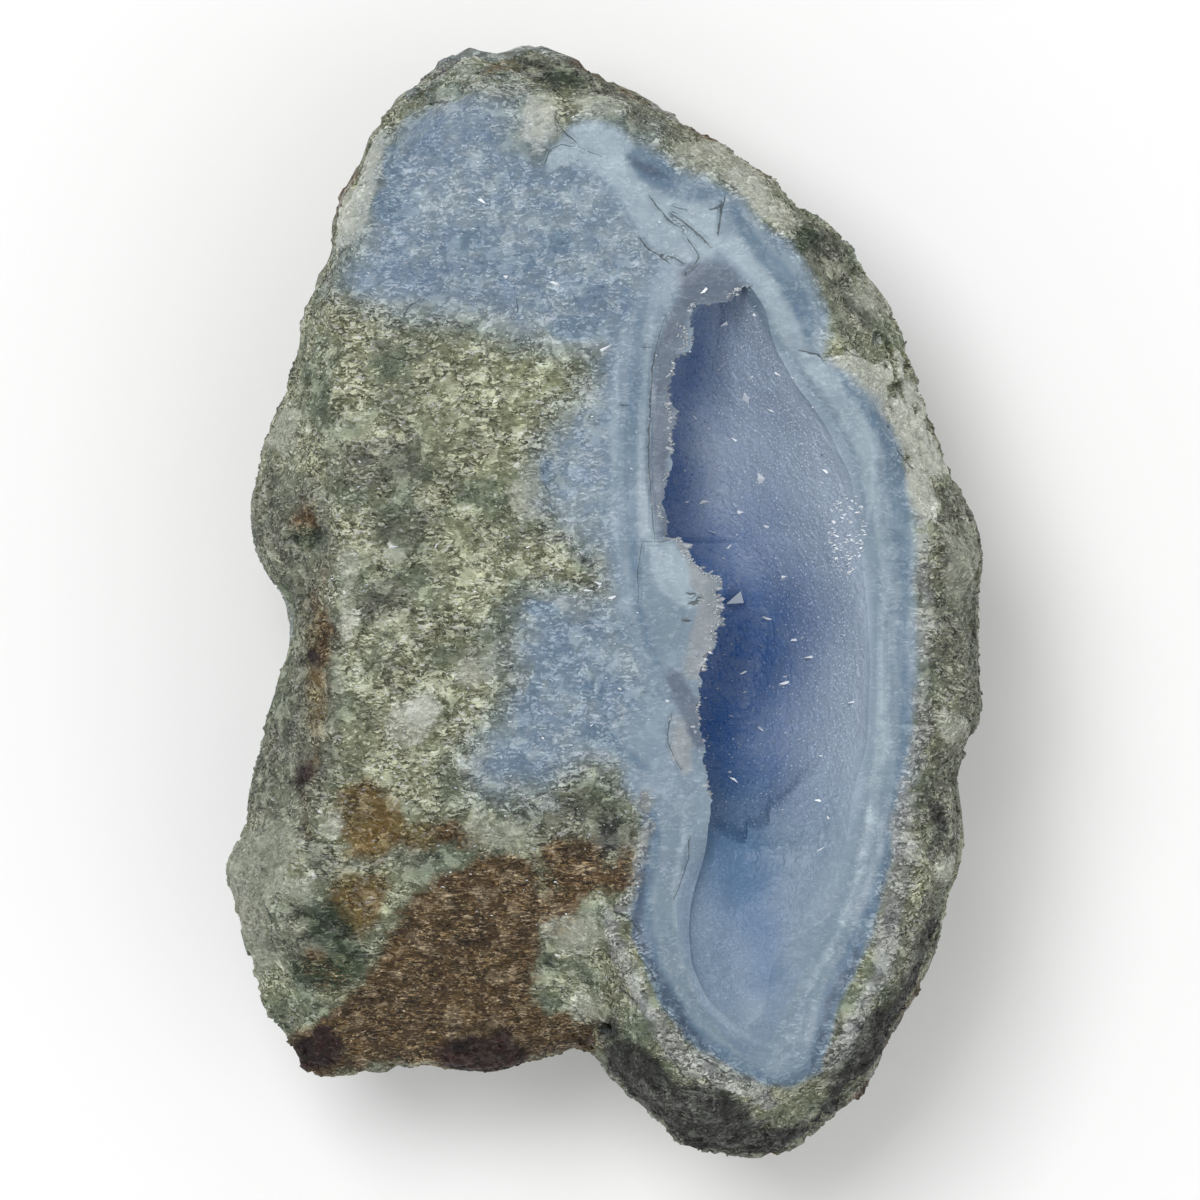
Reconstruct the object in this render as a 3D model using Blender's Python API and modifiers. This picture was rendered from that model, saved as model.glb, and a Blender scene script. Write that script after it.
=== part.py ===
"""Blue lace agate geode: a broken nodule with an open hollow, and the quartz crust that lines it.

The stone lies on its back with the broken face up. X runs across the face, Y up the face and
Z away from the surface it rests on. The origin is on that surface, under the middle of the
outline. The constants are in millimetres and degrees, and the meshes are in metres.
"""

import math

import bmesh
import bpy
import numpy as np
from mathutils import Vector, noise

MM = 0.001
SEED = 7

# Heights of the main form.
FACE_HEIGHT = 40.5
FACE_SLOPE_X = -0.035
FACE_SLOPE_Y = 0.012
WAIST_HEIGHT = 23.0
BLANK_HEIGHT = 48.0
FOOT_CUT = 0.9

# The waist rises and falls around the stone: how often, how far and from where, in degrees.
WAIST_SWAYS = (
    (2, 3.0, 40.0),
    (5, 1.8, 115.0),
)

# The outline seen from above, counter-clockwise from the top peak.
OUTLINE = (
    (-6.7, 55.8), (-8.0, 55.4), (-9.1, 54.7), (-11.2, 54.5), (-12.3, 55.1), (-13.5, 55.4),
    (-15.5, 54.5), (-16.9, 53.7), (-18.1, 52.4), (-20.1, 50.8), (-21.5, 49.6), (-22.4, 48.0),
    (-23.4, 46.8), (-23.8, 45.4), (-24.2, 43.2), (-26.2, 40.5), (-26.7, 38.0), (-26.4, 36.0),
    (-28.1, 32.0), (-29.4, 29.5), (-29.8, 27.5), (-30.2, 24.0), (-31.3, 21.0), (-32.0, 18.8),
    (-33.1, 17.0), (-33.7, 15.0), (-34.1, 11.9), (-34.9, 10.2), (-34.9, 8.8), (-34.3, 5.0),
    (-33.2, 2.5), (-31.5, 0.6), (-30.7, -1.2), (-30.8, -4.2), (-32.0, -7.8), (-33.3, -12.2),
    (-33.9, -16.5), (-35.1, -19.3), (-35.5, -22.5), (-36.0, -23.9), (-37.2, -25.3), (-38.0, -26.8),
    (-37.9, -27.8), (-37.0, -30.3), (-36.5, -32.5), (-35.4, -36.0), (-34.2, -40.0), (-32.6, -42.8),
    (-31.0, -44.0), (-30.6, -44.8), (-30.2, -46.8), (-29.3, -47.5), (-24.4, -47.5), (-21.5, -47.3),
    (-19.1, -46.3), (-15.3, -46.6), (-11.9, -47.1), (-10.0, -47.0), (-7.6, -45.8), (-4.9, -45.3),
    (-1.1, -44.2), (-0.3, -45.2), (0.6, -46.9), (1.8, -48.0), (2.2, -49.0), (5.6, -51.4),
    (6.1, -52.2), (8.2, -54.5), (9.9, -55.4), (13.9, -55.5), (15.6, -55.8), (17.9, -55.4),
    (20.7, -54.1), (22.3, -52.7), (25.3, -50.2), (26.7, -49.0), (28.2, -46.2), (29.0, -44.3),
    (29.0, -43.3), (29.9, -42.0), (31.4, -40.0), (33.5, -34.4), (34.6, -29.8), (35.6, -27.2),
    (36.1, -24.5), (36.1, -21.2), (35.6, -19.2), (35.5, -17.5), (36.0, -15.3), (37.3, -12.8),
    (37.9, -11.5), (37.8, -8.3), (37.2, -6.6), (37.5, -5.0), (37.4, -1.8), (37.0, -0.3),
    (37.8, 2.1), (37.6, 5.0), (37.3, 8.4), (36.2, 10.2), (34.0, 14.0), (33.0, 17.0),
    (31.3, 21.7), (30.7, 24.4), (30.1, 25.1), (29.1, 28.6), (28.5, 30.1), (26.6, 32.5),
    (24.7, 34.8), (24.1, 36.3), (22.8, 37.5), (19.6, 38.8), (18.1, 40.7), (17.7, 41.9),
    (16.6, 42.9), (14.7, 43.3), (13.1, 45.2), (11.9, 46.2), (9.3, 46.1), (7.4, 48.2),
    (4.4, 49.9), (3.3, 50.9), (0.2, 52.1), (-1.6, 53.4), (-2.5, 54.3), (-5.2, 55.2),
)
OUTLINE_CENTRE = (-0.5, 0.0)
# Upright walls are roughened inwards only, from this much outside the outline.
OUTLINE_MARGIN = 0.45
RIM_POINTS = 180

# The rounded back is an oval about this centre, so the weight stands over the flat spot.
FOOT_CENTRE = (-3.0, 1.0)
FOOT_RADII = (37.0, 53.0)

# Rings of the blank below the waist: share of the waist's height, of the outline's width, and of
# the oval that the outline turns into.
BACK_RINGS = (
    (0.00, 0.20, 1.00),
    (0.00, 0.38, 1.00),
    (0.07, 0.52, 0.95),
    (0.19, 0.66, 0.85),
    (0.36, 0.79, 0.62),
    (0.56, 0.89, 0.38),
    (0.78, 0.96, 0.15),
    (0.92, 0.99, 0.04),
)
# Rings from the waist up: share of the way to the blank's top, and share of the width.
FRONT_RINGS = (
    (0.00, 1.000),
    (0.15, 0.996),
    (0.40, 0.975),
    (1.00, 0.940),
)

# Flat scars on the sides and back: bearing, tilt above the level, and depth of the scar.
SCARS = (
    (15.0, -38.0, 4.0),
    (62.0, -30.0, 3.5),
    (105.0, -42.0, 4.5),
    (150.0, -33.0, 3.5),
    (196.0, -40.0, 4.5),
    (238.0, -48.0, 4.0),
    (283.0, -32.0, 4.5),
    (327.0, -44.0, 4.0),
    (25.0, 24.0, 3.0),
    (78.0, 30.0, 3.0),
    (128.0, 26.0, 3.0),
    (212.0, 22.0, 3.0),
    (303.0, 28.0, 3.0),
)
SCAR_KEEPS_WAIST = (1.5, 6.5)

# Breaks that slope away from the main face: a point on the crease, the bearing of the fall
# (0 is +X, 90 is +Y), the dip, and the X range over which the break fades out to its right.
BREAKS = (
    ("left strip", -26.2, -6.0, 179.0, 54.0, None),
    ("upper left", -21.5, 42.0, 163.0, 40.0, None),
    ("top", -6.0, 51.0, 86.0, 46.0, None),
    ("upper right", 9.0, 44.0, 54.0, 36.0, None),
    ("right rind", 32.3, 8.0, 8.0, 42.0, None),
    ("lower right", 30.0, -36.0, 332.0, 40.0, None),
    ("rusty facet", -10.6, -25.4, 262.0, 33.0, (-3.0, 6.0)),
    ("lower left", -14.0, -22.0, 226.0, 19.0, (-6.0, 2.0)),
    ("bottom lobe", 15.0, -50.5, 271.0, 40.0, None),
)
CREASE_SHARPNESS = 4.0
EDGE_ROLL_LEFT = 4.0
EDGE_ROLL_RIGHT = 7.0
EDGE_ROLL_TURN_X = (-8.0, 14.0)
EDGE_ROLL_DROP = 9.0

# Lumps and dips of the broken face: X, Y, radius and height.
LUMPS = (
    (-34.0, -27.0, 6.0, 2.2),
    (-33.0, 8.0, 5.5, 1.4),
    (-14.5, 52.5, 4.5, 1.6),
    (-6.0, 54.0, 3.5, 1.4),
    (8.0, 0.0, 6.0, 0.9),
    (3.6, -37.5, 3.5, 1.3),
    (6.8, -44.0, 3.5, 1.4),
    (12.0, -49.0, 3.5, 1.2),
    (30.5, 20.5, 4.5, 1.0),
    (35.0, -10.0, 4.0, 1.0),
    (33.0, -27.0, 4.0, 0.9),
    (-20.0, 20.0, 7.0, 1.0),
    (-11.0, 4.0, 8.0, 0.8),
    (-22.0, -9.0, 6.0, 0.9),
    (-7.0, -12.0, 6.0, 0.6),
    (-12.0, 38.0, 9.0, 0.7),
    (-15.0, 12.0, 5.0, -0.9),
    (-22.0, 31.0, 6.0, -0.8),
    (-2.0, 24.0, 8.0, -0.5),
    (-18.0, -19.0, 5.0, -1.1),
    (-0.6, -43.2, 2.4, -2.0),
    (28.4, -43.6, 2.4, -1.6),
    (33.6, 1.0, 3.0, -1.1),
    (35.0, -18.0, 2.8, -1.2),
    (19.0, 41.0, 2.6, -0.9),
)
# A ledge where a sheet of quartz stands above the agate beside the hollow.
LEDGE_EDGE_Y = 5.9
LEDGE_X = (4.0, 11.0)
LEDGE_HEIGHT = 0.8
LEDGE_FADE = 9.0

# Roughness of the broken surfaces: wavelength and height, finest last.
FACE_ROUGHNESS = ((12.0, 0.7), (5.0, 0.5))
BACK_ROUGHNESS = ((15.0, 1.3), (7.0, 0.9), (4.0, 0.4))
# The share of that roughness at the foot, and the height where all of it is there.
FOOT_CALM = 0.25
FOOT_CALM_TO = 5.0

# The hollow, from its top end to its bottom end: Y, X of the line where agate meets quartz on
# the left, X of the crystal tips there, X of the right rim, depth, and undercut on the left.
HOLLOW_STATIONS = (
    (34.6, 10.5, 10.8, 11.5, 1.2, 0.0),
    (33.8, 9.6, 10.6, 12.6, 3.0, 0.0),
    (32.8, 8.8, 10.4, 14.2, 5.0, 0.2),
    (31.3, 8.2, 10.0, 15.3, 7.5, 0.6),
    (29.0, 7.4, 9.2, 17.0, 10.0, 1.2),
    (25.5, 6.1, 8.8, 18.9, 12.5, 2.0),
    (21.0, 5.1, 7.0, 21.5, 14.5, 2.8),
    (17.0, 4.9, 7.0, 24.6, 15.5, 3.4),
    (12.0, 4.9, 6.6, 26.8, 16.0, 3.8),
    (6.6, 5.3, 6.8, 27.7, 16.5, 4.0),
    (4.0, 7.2, 9.2, 28.0, 16.8, 4.4),
    (1.0, 9.3, 11.8, 28.3, 17.0, 5.0),
    (-2.0, 8.6, 11.9, 28.5, 17.0, 5.0),
    (-5.0, 7.6, 11.0, 28.5, 17.0, 4.6),
    (-8.0, 7.6, 9.9, 28.5, 16.8, 4.2),
    (-12.0, 7.4, 9.7, 28.3, 15.8, 3.6),
    (-15.0, 7.6, 10.2, 28.1, 14.0, 2.8),
    (-18.0, 8.6, 10.7, 27.8, 11.5, 1.8),
    (-21.0, 9.6, 11.1, 27.4, 8.8, 0.8),
    (-25.0, 8.8, 10.2, 26.8, 6.2, 0.0),
    (-30.0, 7.4, 8.6, 25.4, 5.0, 0.0),
    (-35.0, 7.8, 9.0, 23.4, 4.3, 0.0),
    (-40.0, 9.8, 11.0, 20.8, 3.4, 0.0),
    (-44.0, 12.6, 13.8, 18.8, 2.3, 0.0),
    (-46.4, 14.8, 15.4, 17.2, 1.0, 0.0),
)
# One section of the hollow: share of its width, of its undercut and of its depth.
HOLLOW_SECTION = (
    (0.00, 0.00, 0.00),
    (0.00, 0.30, 0.15),
    (0.00, 0.85, 0.40),
    (0.00, 1.00, 0.63),
    (0.05, 0.70, 0.85),
    (0.15, 0.20, 0.97),
    (0.30, 0.00, 1.00),
    (0.48, 0.00, 0.87),
    (0.66, 0.00, 0.64),
    (0.84, 0.00, 0.34),
    (1.00, 0.00, 0.00),
)
SECTION_POINTS = 15
SECTION_COUNT = 34
CLEAR_ABOVE_FACE = 12.0

# Beside the right rim, how far the space to cut runs on outwards before it turns upright.
RIM_REACH = 6.0
# The right wall slopes, so its rim moves by more than an inset of the wall.
RIM_INSET = 1.6

# The quartz crust: its gap to the stone, its thickness under the crystals on the floor and at
# the lip, and the Y of the ends of the open space inside it.
CRUST_GAP = 0.35
CRUST_FLOOR = 1.7
CRUST_LIP_LEAST = 0.85
CRUST_RIM = 2.6
CRUST_ENDS_Y = (31.4, -44.6)
VOID_LEAST_DEPTH = 0.7
# Its crystals: rows, columns, heights, and how far they wander from an even lattice.
CRYSTAL_ROWS = 44
CRYSTAL_COLUMNS = 19
CRYSTAL_HEIGHTS = (0.75, 1.45)
CRYSTAL_WANDER = 0.2
TIP_SETBACK = 0.3
# They are smaller where the hollow is shallower than this.
CRYSTAL_FULL_DEPTH = 7.0
# They point to a line above the hollow: its share of the width, and its height over the face.
CRYSTAL_AIM = (0.55, 3.0)

# Fineness of the stone's cells, and the share of faces kept after them.
BLANK_VOXEL = 1.25
STONE_DETAIL = 0.135

STONE_COLOUR = (0.24, 0.27, 0.27, 1.0)
CRUST_COLOUR = (0.30, 0.36, 0.50, 1.0)


def clear_scene():
    """Remove the objects that the file opened with."""
    for obj in list(bpy.data.objects):
        bpy.data.objects.remove(obj, do_unlink=True)


def make_collection(name):
    """A new collection linked to the scene."""
    collection = bpy.data.collections.new(name)
    bpy.context.scene.collection.children.link(collection)
    return collection


def make_material(name, colour, roughness):
    """A plain Principled material."""
    material = bpy.data.materials.new(name)
    material.use_nodes = True
    shader = material.node_tree.nodes["Principled BSDF"]
    shader.inputs["Base Color"].default_value = colour
    shader.inputs["Roughness"].default_value = roughness
    shader.inputs["Metallic"].default_value = 0.0
    material.diffuse_color = colour
    return material


def add_object(name, mesh, collection):
    """An object for a mesh, in a collection."""
    obj = bpy.data.objects.new(name, mesh)
    collection.objects.link(obj)
    return obj


def baked_mesh(obj, name):
    """The object's mesh with its modifiers applied, as a new mesh."""
    bpy.context.view_layer.update()
    evaluated = obj.evaluated_get(bpy.context.evaluated_depsgraph_get())
    mesh = bpy.data.meshes.new_from_object(evaluated)
    mesh.name = name
    return mesh


def mesh_points(mesh):
    """The mesh's points in millimetres, one row each."""
    flat = np.empty(len(mesh.vertices) * 3)
    mesh.vertices.foreach_get("co", flat)
    return flat.reshape(-1, 3) / MM


def mesh_normals(mesh):
    """The mesh's point normals, one row each."""
    flat = np.empty(len(mesh.vertices) * 3)
    mesh.vertices.foreach_get("normal", flat)
    return flat.reshape(-1, 3)


def set_mesh_points(mesh, points):
    """Move the mesh's points to new places, given in millimetres."""
    mesh.vertices.foreach_set("co", (points * MM).ravel())
    mesh.update()


def evenly_spaced(points, count):
    """Points at even steps along a closed outline."""
    closed = np.array(points + points[:1])
    steps = np.linalg.norm(np.diff(closed, axis=0), axis=1)
    along = np.concatenate(([0.0], np.cumsum(steps)))
    wanted = np.linspace(0.0, along[-1], count, endpoint=False)
    return np.stack([np.interp(wanted, along, closed[:, axis]) for axis in (0, 1)], axis=1)


def smooth_path(points, shares):
    """Points on a smooth curve through open control points, at shares 0 to 1 of its run."""
    control = np.array(points)
    padded = np.vstack([2 * control[0] - control[1], control, 2 * control[-1] - control[-2]])
    place = np.clip(np.asarray(shares), 0.0, 1.0) * (len(control) - 1)
    first = np.minimum(place.astype(int), len(control) - 2)
    t = (place - first)[:, None]
    a, b, c, d = (padded[first + step] for step in range(4))
    return 0.5 * (2 * b + (c - a) * t + (2 * a - 5 * b + 4 * c - d) * t**2 + (3 * b - a - 3 * c + d) * t**3)


def smooth_step(low, high, values):
    """0 below low, 1 above high, and smooth between."""
    share = np.clip((values - low) / (high - low), 0.0, 1.0)
    return share * share * (3.0 - 2.0 * share)


def outline_distance(x, y):
    """Distance from points to the outline."""
    closed = np.array(OUTLINE + OUTLINE[:1])
    points = np.stack([x, y], axis=-1)
    nearest = np.full(points.shape[:-1], np.inf)
    for start, end in zip(closed[:-1], closed[1:]):
        run = end - start
        share = np.clip(((points - start) @ run) / (run @ run), 0.0, 1.0)
        gap = np.linalg.norm(points - start - share[..., None] * run, axis=-1)
        nearest = np.minimum(nearest, gap)
    return nearest


def break_drop(x, y, break_plane):
    """How far one break lies below the main face."""
    _, at_x, at_y, bearing, dip, fade = break_plane
    angle = math.radians(bearing)
    run = (x - at_x) * math.cos(angle) + (y - at_y) * math.sin(angle)
    drop = np.maximum(run, 0.0) * math.tan(math.radians(dip))
    if fade is not None:
        drop = drop * (1.0 - smooth_step(fade[0], fade[1], x))
    return drop


def face_height(x, y):
    """Height of the broken face, before the hollow is cut."""
    height = FACE_HEIGHT + FACE_SLOPE_X * x + FACE_SLOPE_Y * y
    drops = sum(break_drop(x, y, plane) ** CREASE_SHARPNESS for plane in BREAKS)
    turn = smooth_step(EDGE_ROLL_TURN_X[0], EDGE_ROLL_TURN_X[1], x)
    roll_width = EDGE_ROLL_LEFT + (EDGE_ROLL_RIGHT - EDGE_ROLL_LEFT) * turn
    inwards = np.clip(outline_distance(x, y) / roll_width, 0.0, 1.0)
    roll = EDGE_ROLL_DROP * (1.0 - np.sqrt(1.0 - (1.0 - inwards) ** 2))
    drops = drops + roll ** CREASE_SHARPNESS
    height = height - drops ** (1.0 / CREASE_SHARPNESS)
    for at_x, at_y, radius, rise in LUMPS:
        height = height + rise * np.exp(-((x - at_x) ** 2 + (y - at_y) ** 2) / radius**2)
    ledge = smooth_step(LEDGE_X[0] - 0.6, LEDGE_X[0] + 0.6, x)
    ledge = ledge * (1.0 - smooth_step(LEDGE_X[1], LEDGE_X[1] + 4.0, x))
    ledge = ledge * (1.0 - smooth_step(LEDGE_EDGE_Y - 0.3, LEDGE_EDGE_Y + 0.3, y))
    ledge = ledge * smooth_step(LEDGE_EDGE_Y - LEDGE_FADE, LEDGE_EDGE_Y - 3.0, y)
    return height + LEDGE_HEIGHT * ledge


def roughness(points, layers):
    """Sum of noise layers at each point, in millimetres."""
    total = np.zeros(len(points))
    for wavelength, height in layers:
        layer = [noise.noise(Vector(point) / wavelength) for point in points]
        total += height * np.array(layer)
    return total


def loft(name, rings, collection):
    """A closed solid through rings of equal point counts, with flat ends."""
    count = len(rings[0])
    points = np.concatenate(rings) * MM
    faces = [tuple(range(count)), tuple(range(len(points) - count, len(points)))]
    for ring in range(len(rings) - 1):
        for i in range(count):
            j = (i + 1) % count
            low = ring * count
            faces.append((low + i, low + j, low + count + j, low + count + i))
    mesh = bpy.data.meshes.new(name)
    mesh.from_pydata(points.tolist(), [], faces)
    face_outwards(mesh)
    return add_object(name, mesh, collection)


def face_outwards(mesh):
    """Turn every face of a closed mesh outwards."""
    bm = bmesh.new()
    bm.from_mesh(mesh)
    bmesh.ops.recalc_face_normals(bm, faces=bm.faces[:])
    bm.to_mesh(mesh)
    bm.free()
    mesh.update()


def remesh(obj, voxel):
    """Turn the object's mesh into even cells of one size, given in millimetres."""
    modifier = obj.modifiers.new("even cells", "REMESH")
    modifier.mode = "VOXEL"
    modifier.voxel_size = voxel * MM
    mesh = baked_mesh(obj, obj.name)
    obj.modifiers.remove(modifier)
    obj.data = mesh


def blank_rings():
    """Rings of the blank, from the foot to the flat top."""
    rim = evenly_spaced(OUTLINE, RIM_POINTS)
    centre = np.array(OUTLINE_CENTRE)
    angle = np.arctan2(rim[:, 1] - centre[1], rim[:, 0] - centre[0])
    oval = np.array(FOOT_CENTRE) + np.array(FOOT_RADII) * np.stack([np.cos(angle), np.sin(angle)], axis=1)
    waist = np.full(len(rim), WAIST_HEIGHT)
    for often, sway, start in WAIST_SWAYS:
        waist += sway * np.sin(often * angle + math.radians(start))
    rings = []
    for height_share, width_share, oval_share in BACK_RINGS:
        middle = centre + oval_share * (np.array(FOOT_CENTRE) - centre)
        shape = (1.0 - oval_share) * rim + oval_share * oval
        ring = middle + width_share * (shape - middle)
        rings.append(np.column_stack([ring, height_share * (waist + FOOT_CUT) - FOOT_CUT]))
    for height_share, width_share in FRONT_RINGS:
        ring = centre + width_share * (rim - centre)
        rings.append(np.column_stack([ring, waist + height_share * (BLANK_HEIGHT - waist)]))
    return rings


def cut_foot(mesh):
    """Cut the back off flat where the stone rests, at height zero."""
    bm = bmesh.new()
    bm.from_mesh(mesh)
    everything = bm.verts[:] + bm.edges[:] + bm.faces[:]
    cut = bmesh.ops.bisect_plane(
        bm,
        geom=everything,
        dist=1e-7,
        plane_co=(0.0, 0.0, 0.0),
        plane_no=(0.0, 0.0, 1.0),
        clear_inner=True,
    )
    edges = [item for item in cut["geom_cut"] if isinstance(item, bmesh.types.BMEdge)]
    bmesh.ops.edgenet_fill(bm, edges=edges)
    bmesh.ops.recalc_face_normals(bm, faces=bm.faces[:])
    bmesh.ops.triangulate(bm, faces=bm.faces[:])
    bm.to_mesh(mesh)
    bm.free()


def cut_scars(points):
    """Press the sides and back flat where pieces broke away, without touching the widest line."""
    for bearing, tilt, depth in SCARS:
        turn = math.radians(bearing)
        rise = math.radians(tilt)
        out = np.array((math.cos(turn) * math.cos(rise), math.sin(turn) * math.cos(rise), math.sin(rise)))
        reach = points @ out
        beyond = np.maximum(reach - (reach.max() - depth), 0.0)
        from_waist = np.abs(points[:, 2] - WAIST_HEIGHT)
        share = smooth_step(SCAR_KEEPS_WAIST[0], SCAR_KEEPS_WAIST[1], from_waist)
        points = points - out * (beyond * share)[:, None]
    return points


def make_blank(collection):
    """The whole stone before the hollow: outline, breaks, lumps, rough back and flat spot."""
    obj = loft("stone_blank", blank_rings(), collection)
    remesh(obj, BLANK_VOXEL)
    points = mesh_points(obj.data)
    points[:, 2] = np.minimum(points[:, 2], face_height(points[:, 0], points[:, 1]))
    set_mesh_points(obj.data, cut_scars(points))
    remesh(obj, BLANK_VOXEL)

    points = mesh_points(obj.data)
    normals = mesh_normals(obj.data)
    back = 1.0 - smooth_step(WAIST_HEIGHT - 9.0, WAIST_HEIGHT, points[:, 2])
    rough = back * roughness(points, BACK_ROUGHNESS) + (1.0 - back) * roughness(points, FACE_ROUGHNESS)
    upright = 1.0 - np.abs(normals[:, 2])
    rough = rough - upright * (np.maximum(rough, 0.0) - OUTLINE_MARGIN)
    rough = rough * (FOOT_CALM + (1.0 - FOOT_CALM) * smooth_step(0.0, FOOT_CALM_TO, points[:, 2]))
    set_mesh_points(obj.data, points + normals * rough[:, None])

    thinner = obj.modifiers.new("fewer faces", "DECIMATE")
    thinner.ratio = STONE_DETAIL
    mesh = baked_mesh(obj, "stone_blank")
    obj.modifiers.remove(thinner)
    obj.data = mesh
    cut_foot(obj.data)
    return obj


def hollow_station(y):
    """Contact X, tip X, right rim X, depth and undercut of the hollow at one Y."""
    stations = np.array(HOLLOW_STATIONS)[::-1]
    return [np.interp(y, stations[:, 0], stations[:, column]) for column in range(1, 6)]


def hollow_ring(y, left, right, depth, undercut, shares):
    """One section of the hollow at Y, closed above the face, as a ring of points."""
    path = smooth_path(HOLLOW_SECTION, shares)
    x = left + path[:, 0] * (right - left) - path[:, 1] * undercut
    rims = face_height(np.array([left, right]), np.array([y, y]))
    z = rims[0] + path[:, 0] * (rims[1] - rims[0]) - path[:, 2] * depth
    top = max(rims) + CLEAR_ABOVE_FACE
    run = x[-1] - x[-2]
    rise = z[-1] - z[-2]
    reach = min(RIM_REACH / run, CLEAR_ABOVE_FACE / rise)
    x = np.append(x, [x[-1] + reach * run, x[-1] + reach * run, x[0]])
    z = np.append(z, [z[-1] + reach * rise, top, top])
    return np.column_stack([x, np.full(len(x), y), z])


def make_hollow(name, inset, collection):
    """The hollow in the stone as a solid to cut with, made smaller all round by an inset."""
    top_end = HOLLOW_STATIONS[0][0] - inset
    bottom_end = HOLLOW_STATIONS[-1][0] + inset
    shares = np.linspace(0.0, 1.0, SECTION_POINTS)
    rings = []
    for y in np.linspace(top_end, bottom_end, SECTION_COUNT):
        contact, _, rim, depth, undercut = hollow_station(y)
        right = rim - RIM_INSET * inset
        rings.append(hollow_ring(y, contact + inset, right, depth - inset, undercut, shares))
    return loft(name, rings, collection)


def crystal_heights(random, row, depth):
    """Heights of one row's lattice points: every third is a tip, and the rims have none."""
    axial = np.arange(CRYSTAL_COLUMNS) - row // 2
    is_tip = (axial - row) % 3 == 0
    heights = random.uniform(CRYSTAL_HEIGHTS[0], CRYSTAL_HEIGHTS[1], CRYSTAL_COLUMNS) * is_tip
    heights[0] = 0.0
    heights[-1] = 0.0
    return heights * min(1.0, depth / CRYSTAL_FULL_DEPTH)


def make_void(collection):
    """The open space inside the crust, with a lattice of six-sided crystals on its wall."""
    random = np.random.default_rng(SEED)
    step = 1.0 / (CRYSTAL_COLUMNS - 1)
    row_step = (CRUST_ENDS_Y[0] - CRUST_ENDS_Y[1]) / (CRYSTAL_ROWS - 1)
    rings = []
    for row in range(CRYSTAL_ROWS):
        y = CRUST_ENDS_Y[0] - row * row_step
        is_end = row in (0, CRYSTAL_ROWS - 1)
        wander = random.uniform(-CRYSTAL_WANDER, CRYSTAL_WANDER, (CRYSTAL_COLUMNS, 2)) * (not is_end)
        wander[0] = 0.0
        wander[-1] = 0.0
        shares = (np.arange(CRYSTAL_COLUMNS) + 0.5 * (row % 2) + wander[:, 0]) * step
        shares[0] = 0.0
        shares[-1] = 1.0

        contact, tip, rim, depth, undercut = hollow_station(y)
        left = max(tip - TIP_SETBACK, contact + CRUST_LIP_LEAST)
        void_depth = max(depth - CRUST_FLOOR, VOID_LEAST_DEPTH)
        ring = hollow_ring(y, left, rim - CRUST_RIM, void_depth, undercut, shares)
        lining = ring[:CRYSTAL_COLUMNS]
        lining[:, 1] += wander[:, 1] * row_step

        aim = np.array([left + CRYSTAL_AIM[0] * (rim - left), y, ring[0, 2] + CRYSTAL_AIM[1]])
        inwards = aim - lining
        inwards /= np.linalg.norm(inwards, axis=1)[:, None]
        heights = crystal_heights(random, row, depth) * (not is_end)
        lining += inwards * heights[:, None]
        rings.append(ring)
    return lattice_loft("hollow_void", rings, collection)


def lattice_loft(name, rings, collection):
    """A closed solid through rings, whose wall is three-sided faces in a six-way lattice."""
    count = len(rings[0])
    points = np.concatenate(rings) * MM
    faces = [tuple(range(count)), tuple(range(len(points) - count, len(points)))]
    for row in range(len(rings) - 1):
        low = row * count
        high = low + count
        for i in range(count):
            j = (i + 1) % count
            if row % 2 == 0:
                faces.append((low + i, low + j, high + i))
                faces.append((high + i, low + j, high + j))
            else:
                faces.append((low + i, high + j, high + i))
                faces.append((low + i, low + j, high + j))
    mesh = bpy.data.meshes.new(name)
    mesh.from_pydata(points.tolist(), [], faces)
    face_outwards(mesh)
    return add_object(name, mesh, collection)


def add_boolean(obj, cutter, operation):
    """A live Boolean on an object."""
    modifier = obj.modifiers.new(cutter.name, "BOOLEAN")
    modifier.operation = operation
    modifier.object = cutter
    modifier.solver = "EXACT"


def hide_cutter(obj):
    """Leave a cutter out of the render and show it as wire."""
    obj.hide_render = True
    obj.display_type = "WIRE"


def main():
    clear_scene()
    parts = make_collection("blue_lace_agate_geode")
    cutters = make_collection("cutters")

    blank = make_blank(cutters)
    hollow = make_hollow("hollow", 0.0, cutters)
    hollow_inner = make_hollow("hollow_less_gap", CRUST_GAP, cutters)
    void = make_void(cutters)

    stone = add_object("geode_stone", blank.data.copy(), parts)
    stone.data.materials.append(make_material("agate stone", STONE_COLOUR, 0.6))
    add_boolean(stone, hollow, "DIFFERENCE")

    crust = add_object("crystal_crust", blank.data.copy(), parts)
    crust.data.materials.append(make_material("quartz crystals", CRUST_COLOUR, 0.25))
    add_boolean(crust, hollow_inner, "INTERSECT")
    add_boolean(crust, void, "DIFFERENCE")

    for cutter in (blank, hollow, hollow_inner, void):
        hide_cutter(cutter)


main()
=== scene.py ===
import math

import bmesh
import bpy
import numpy as np
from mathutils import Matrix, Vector, noise
from mathutils.bvhtree import BVHTree


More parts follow.
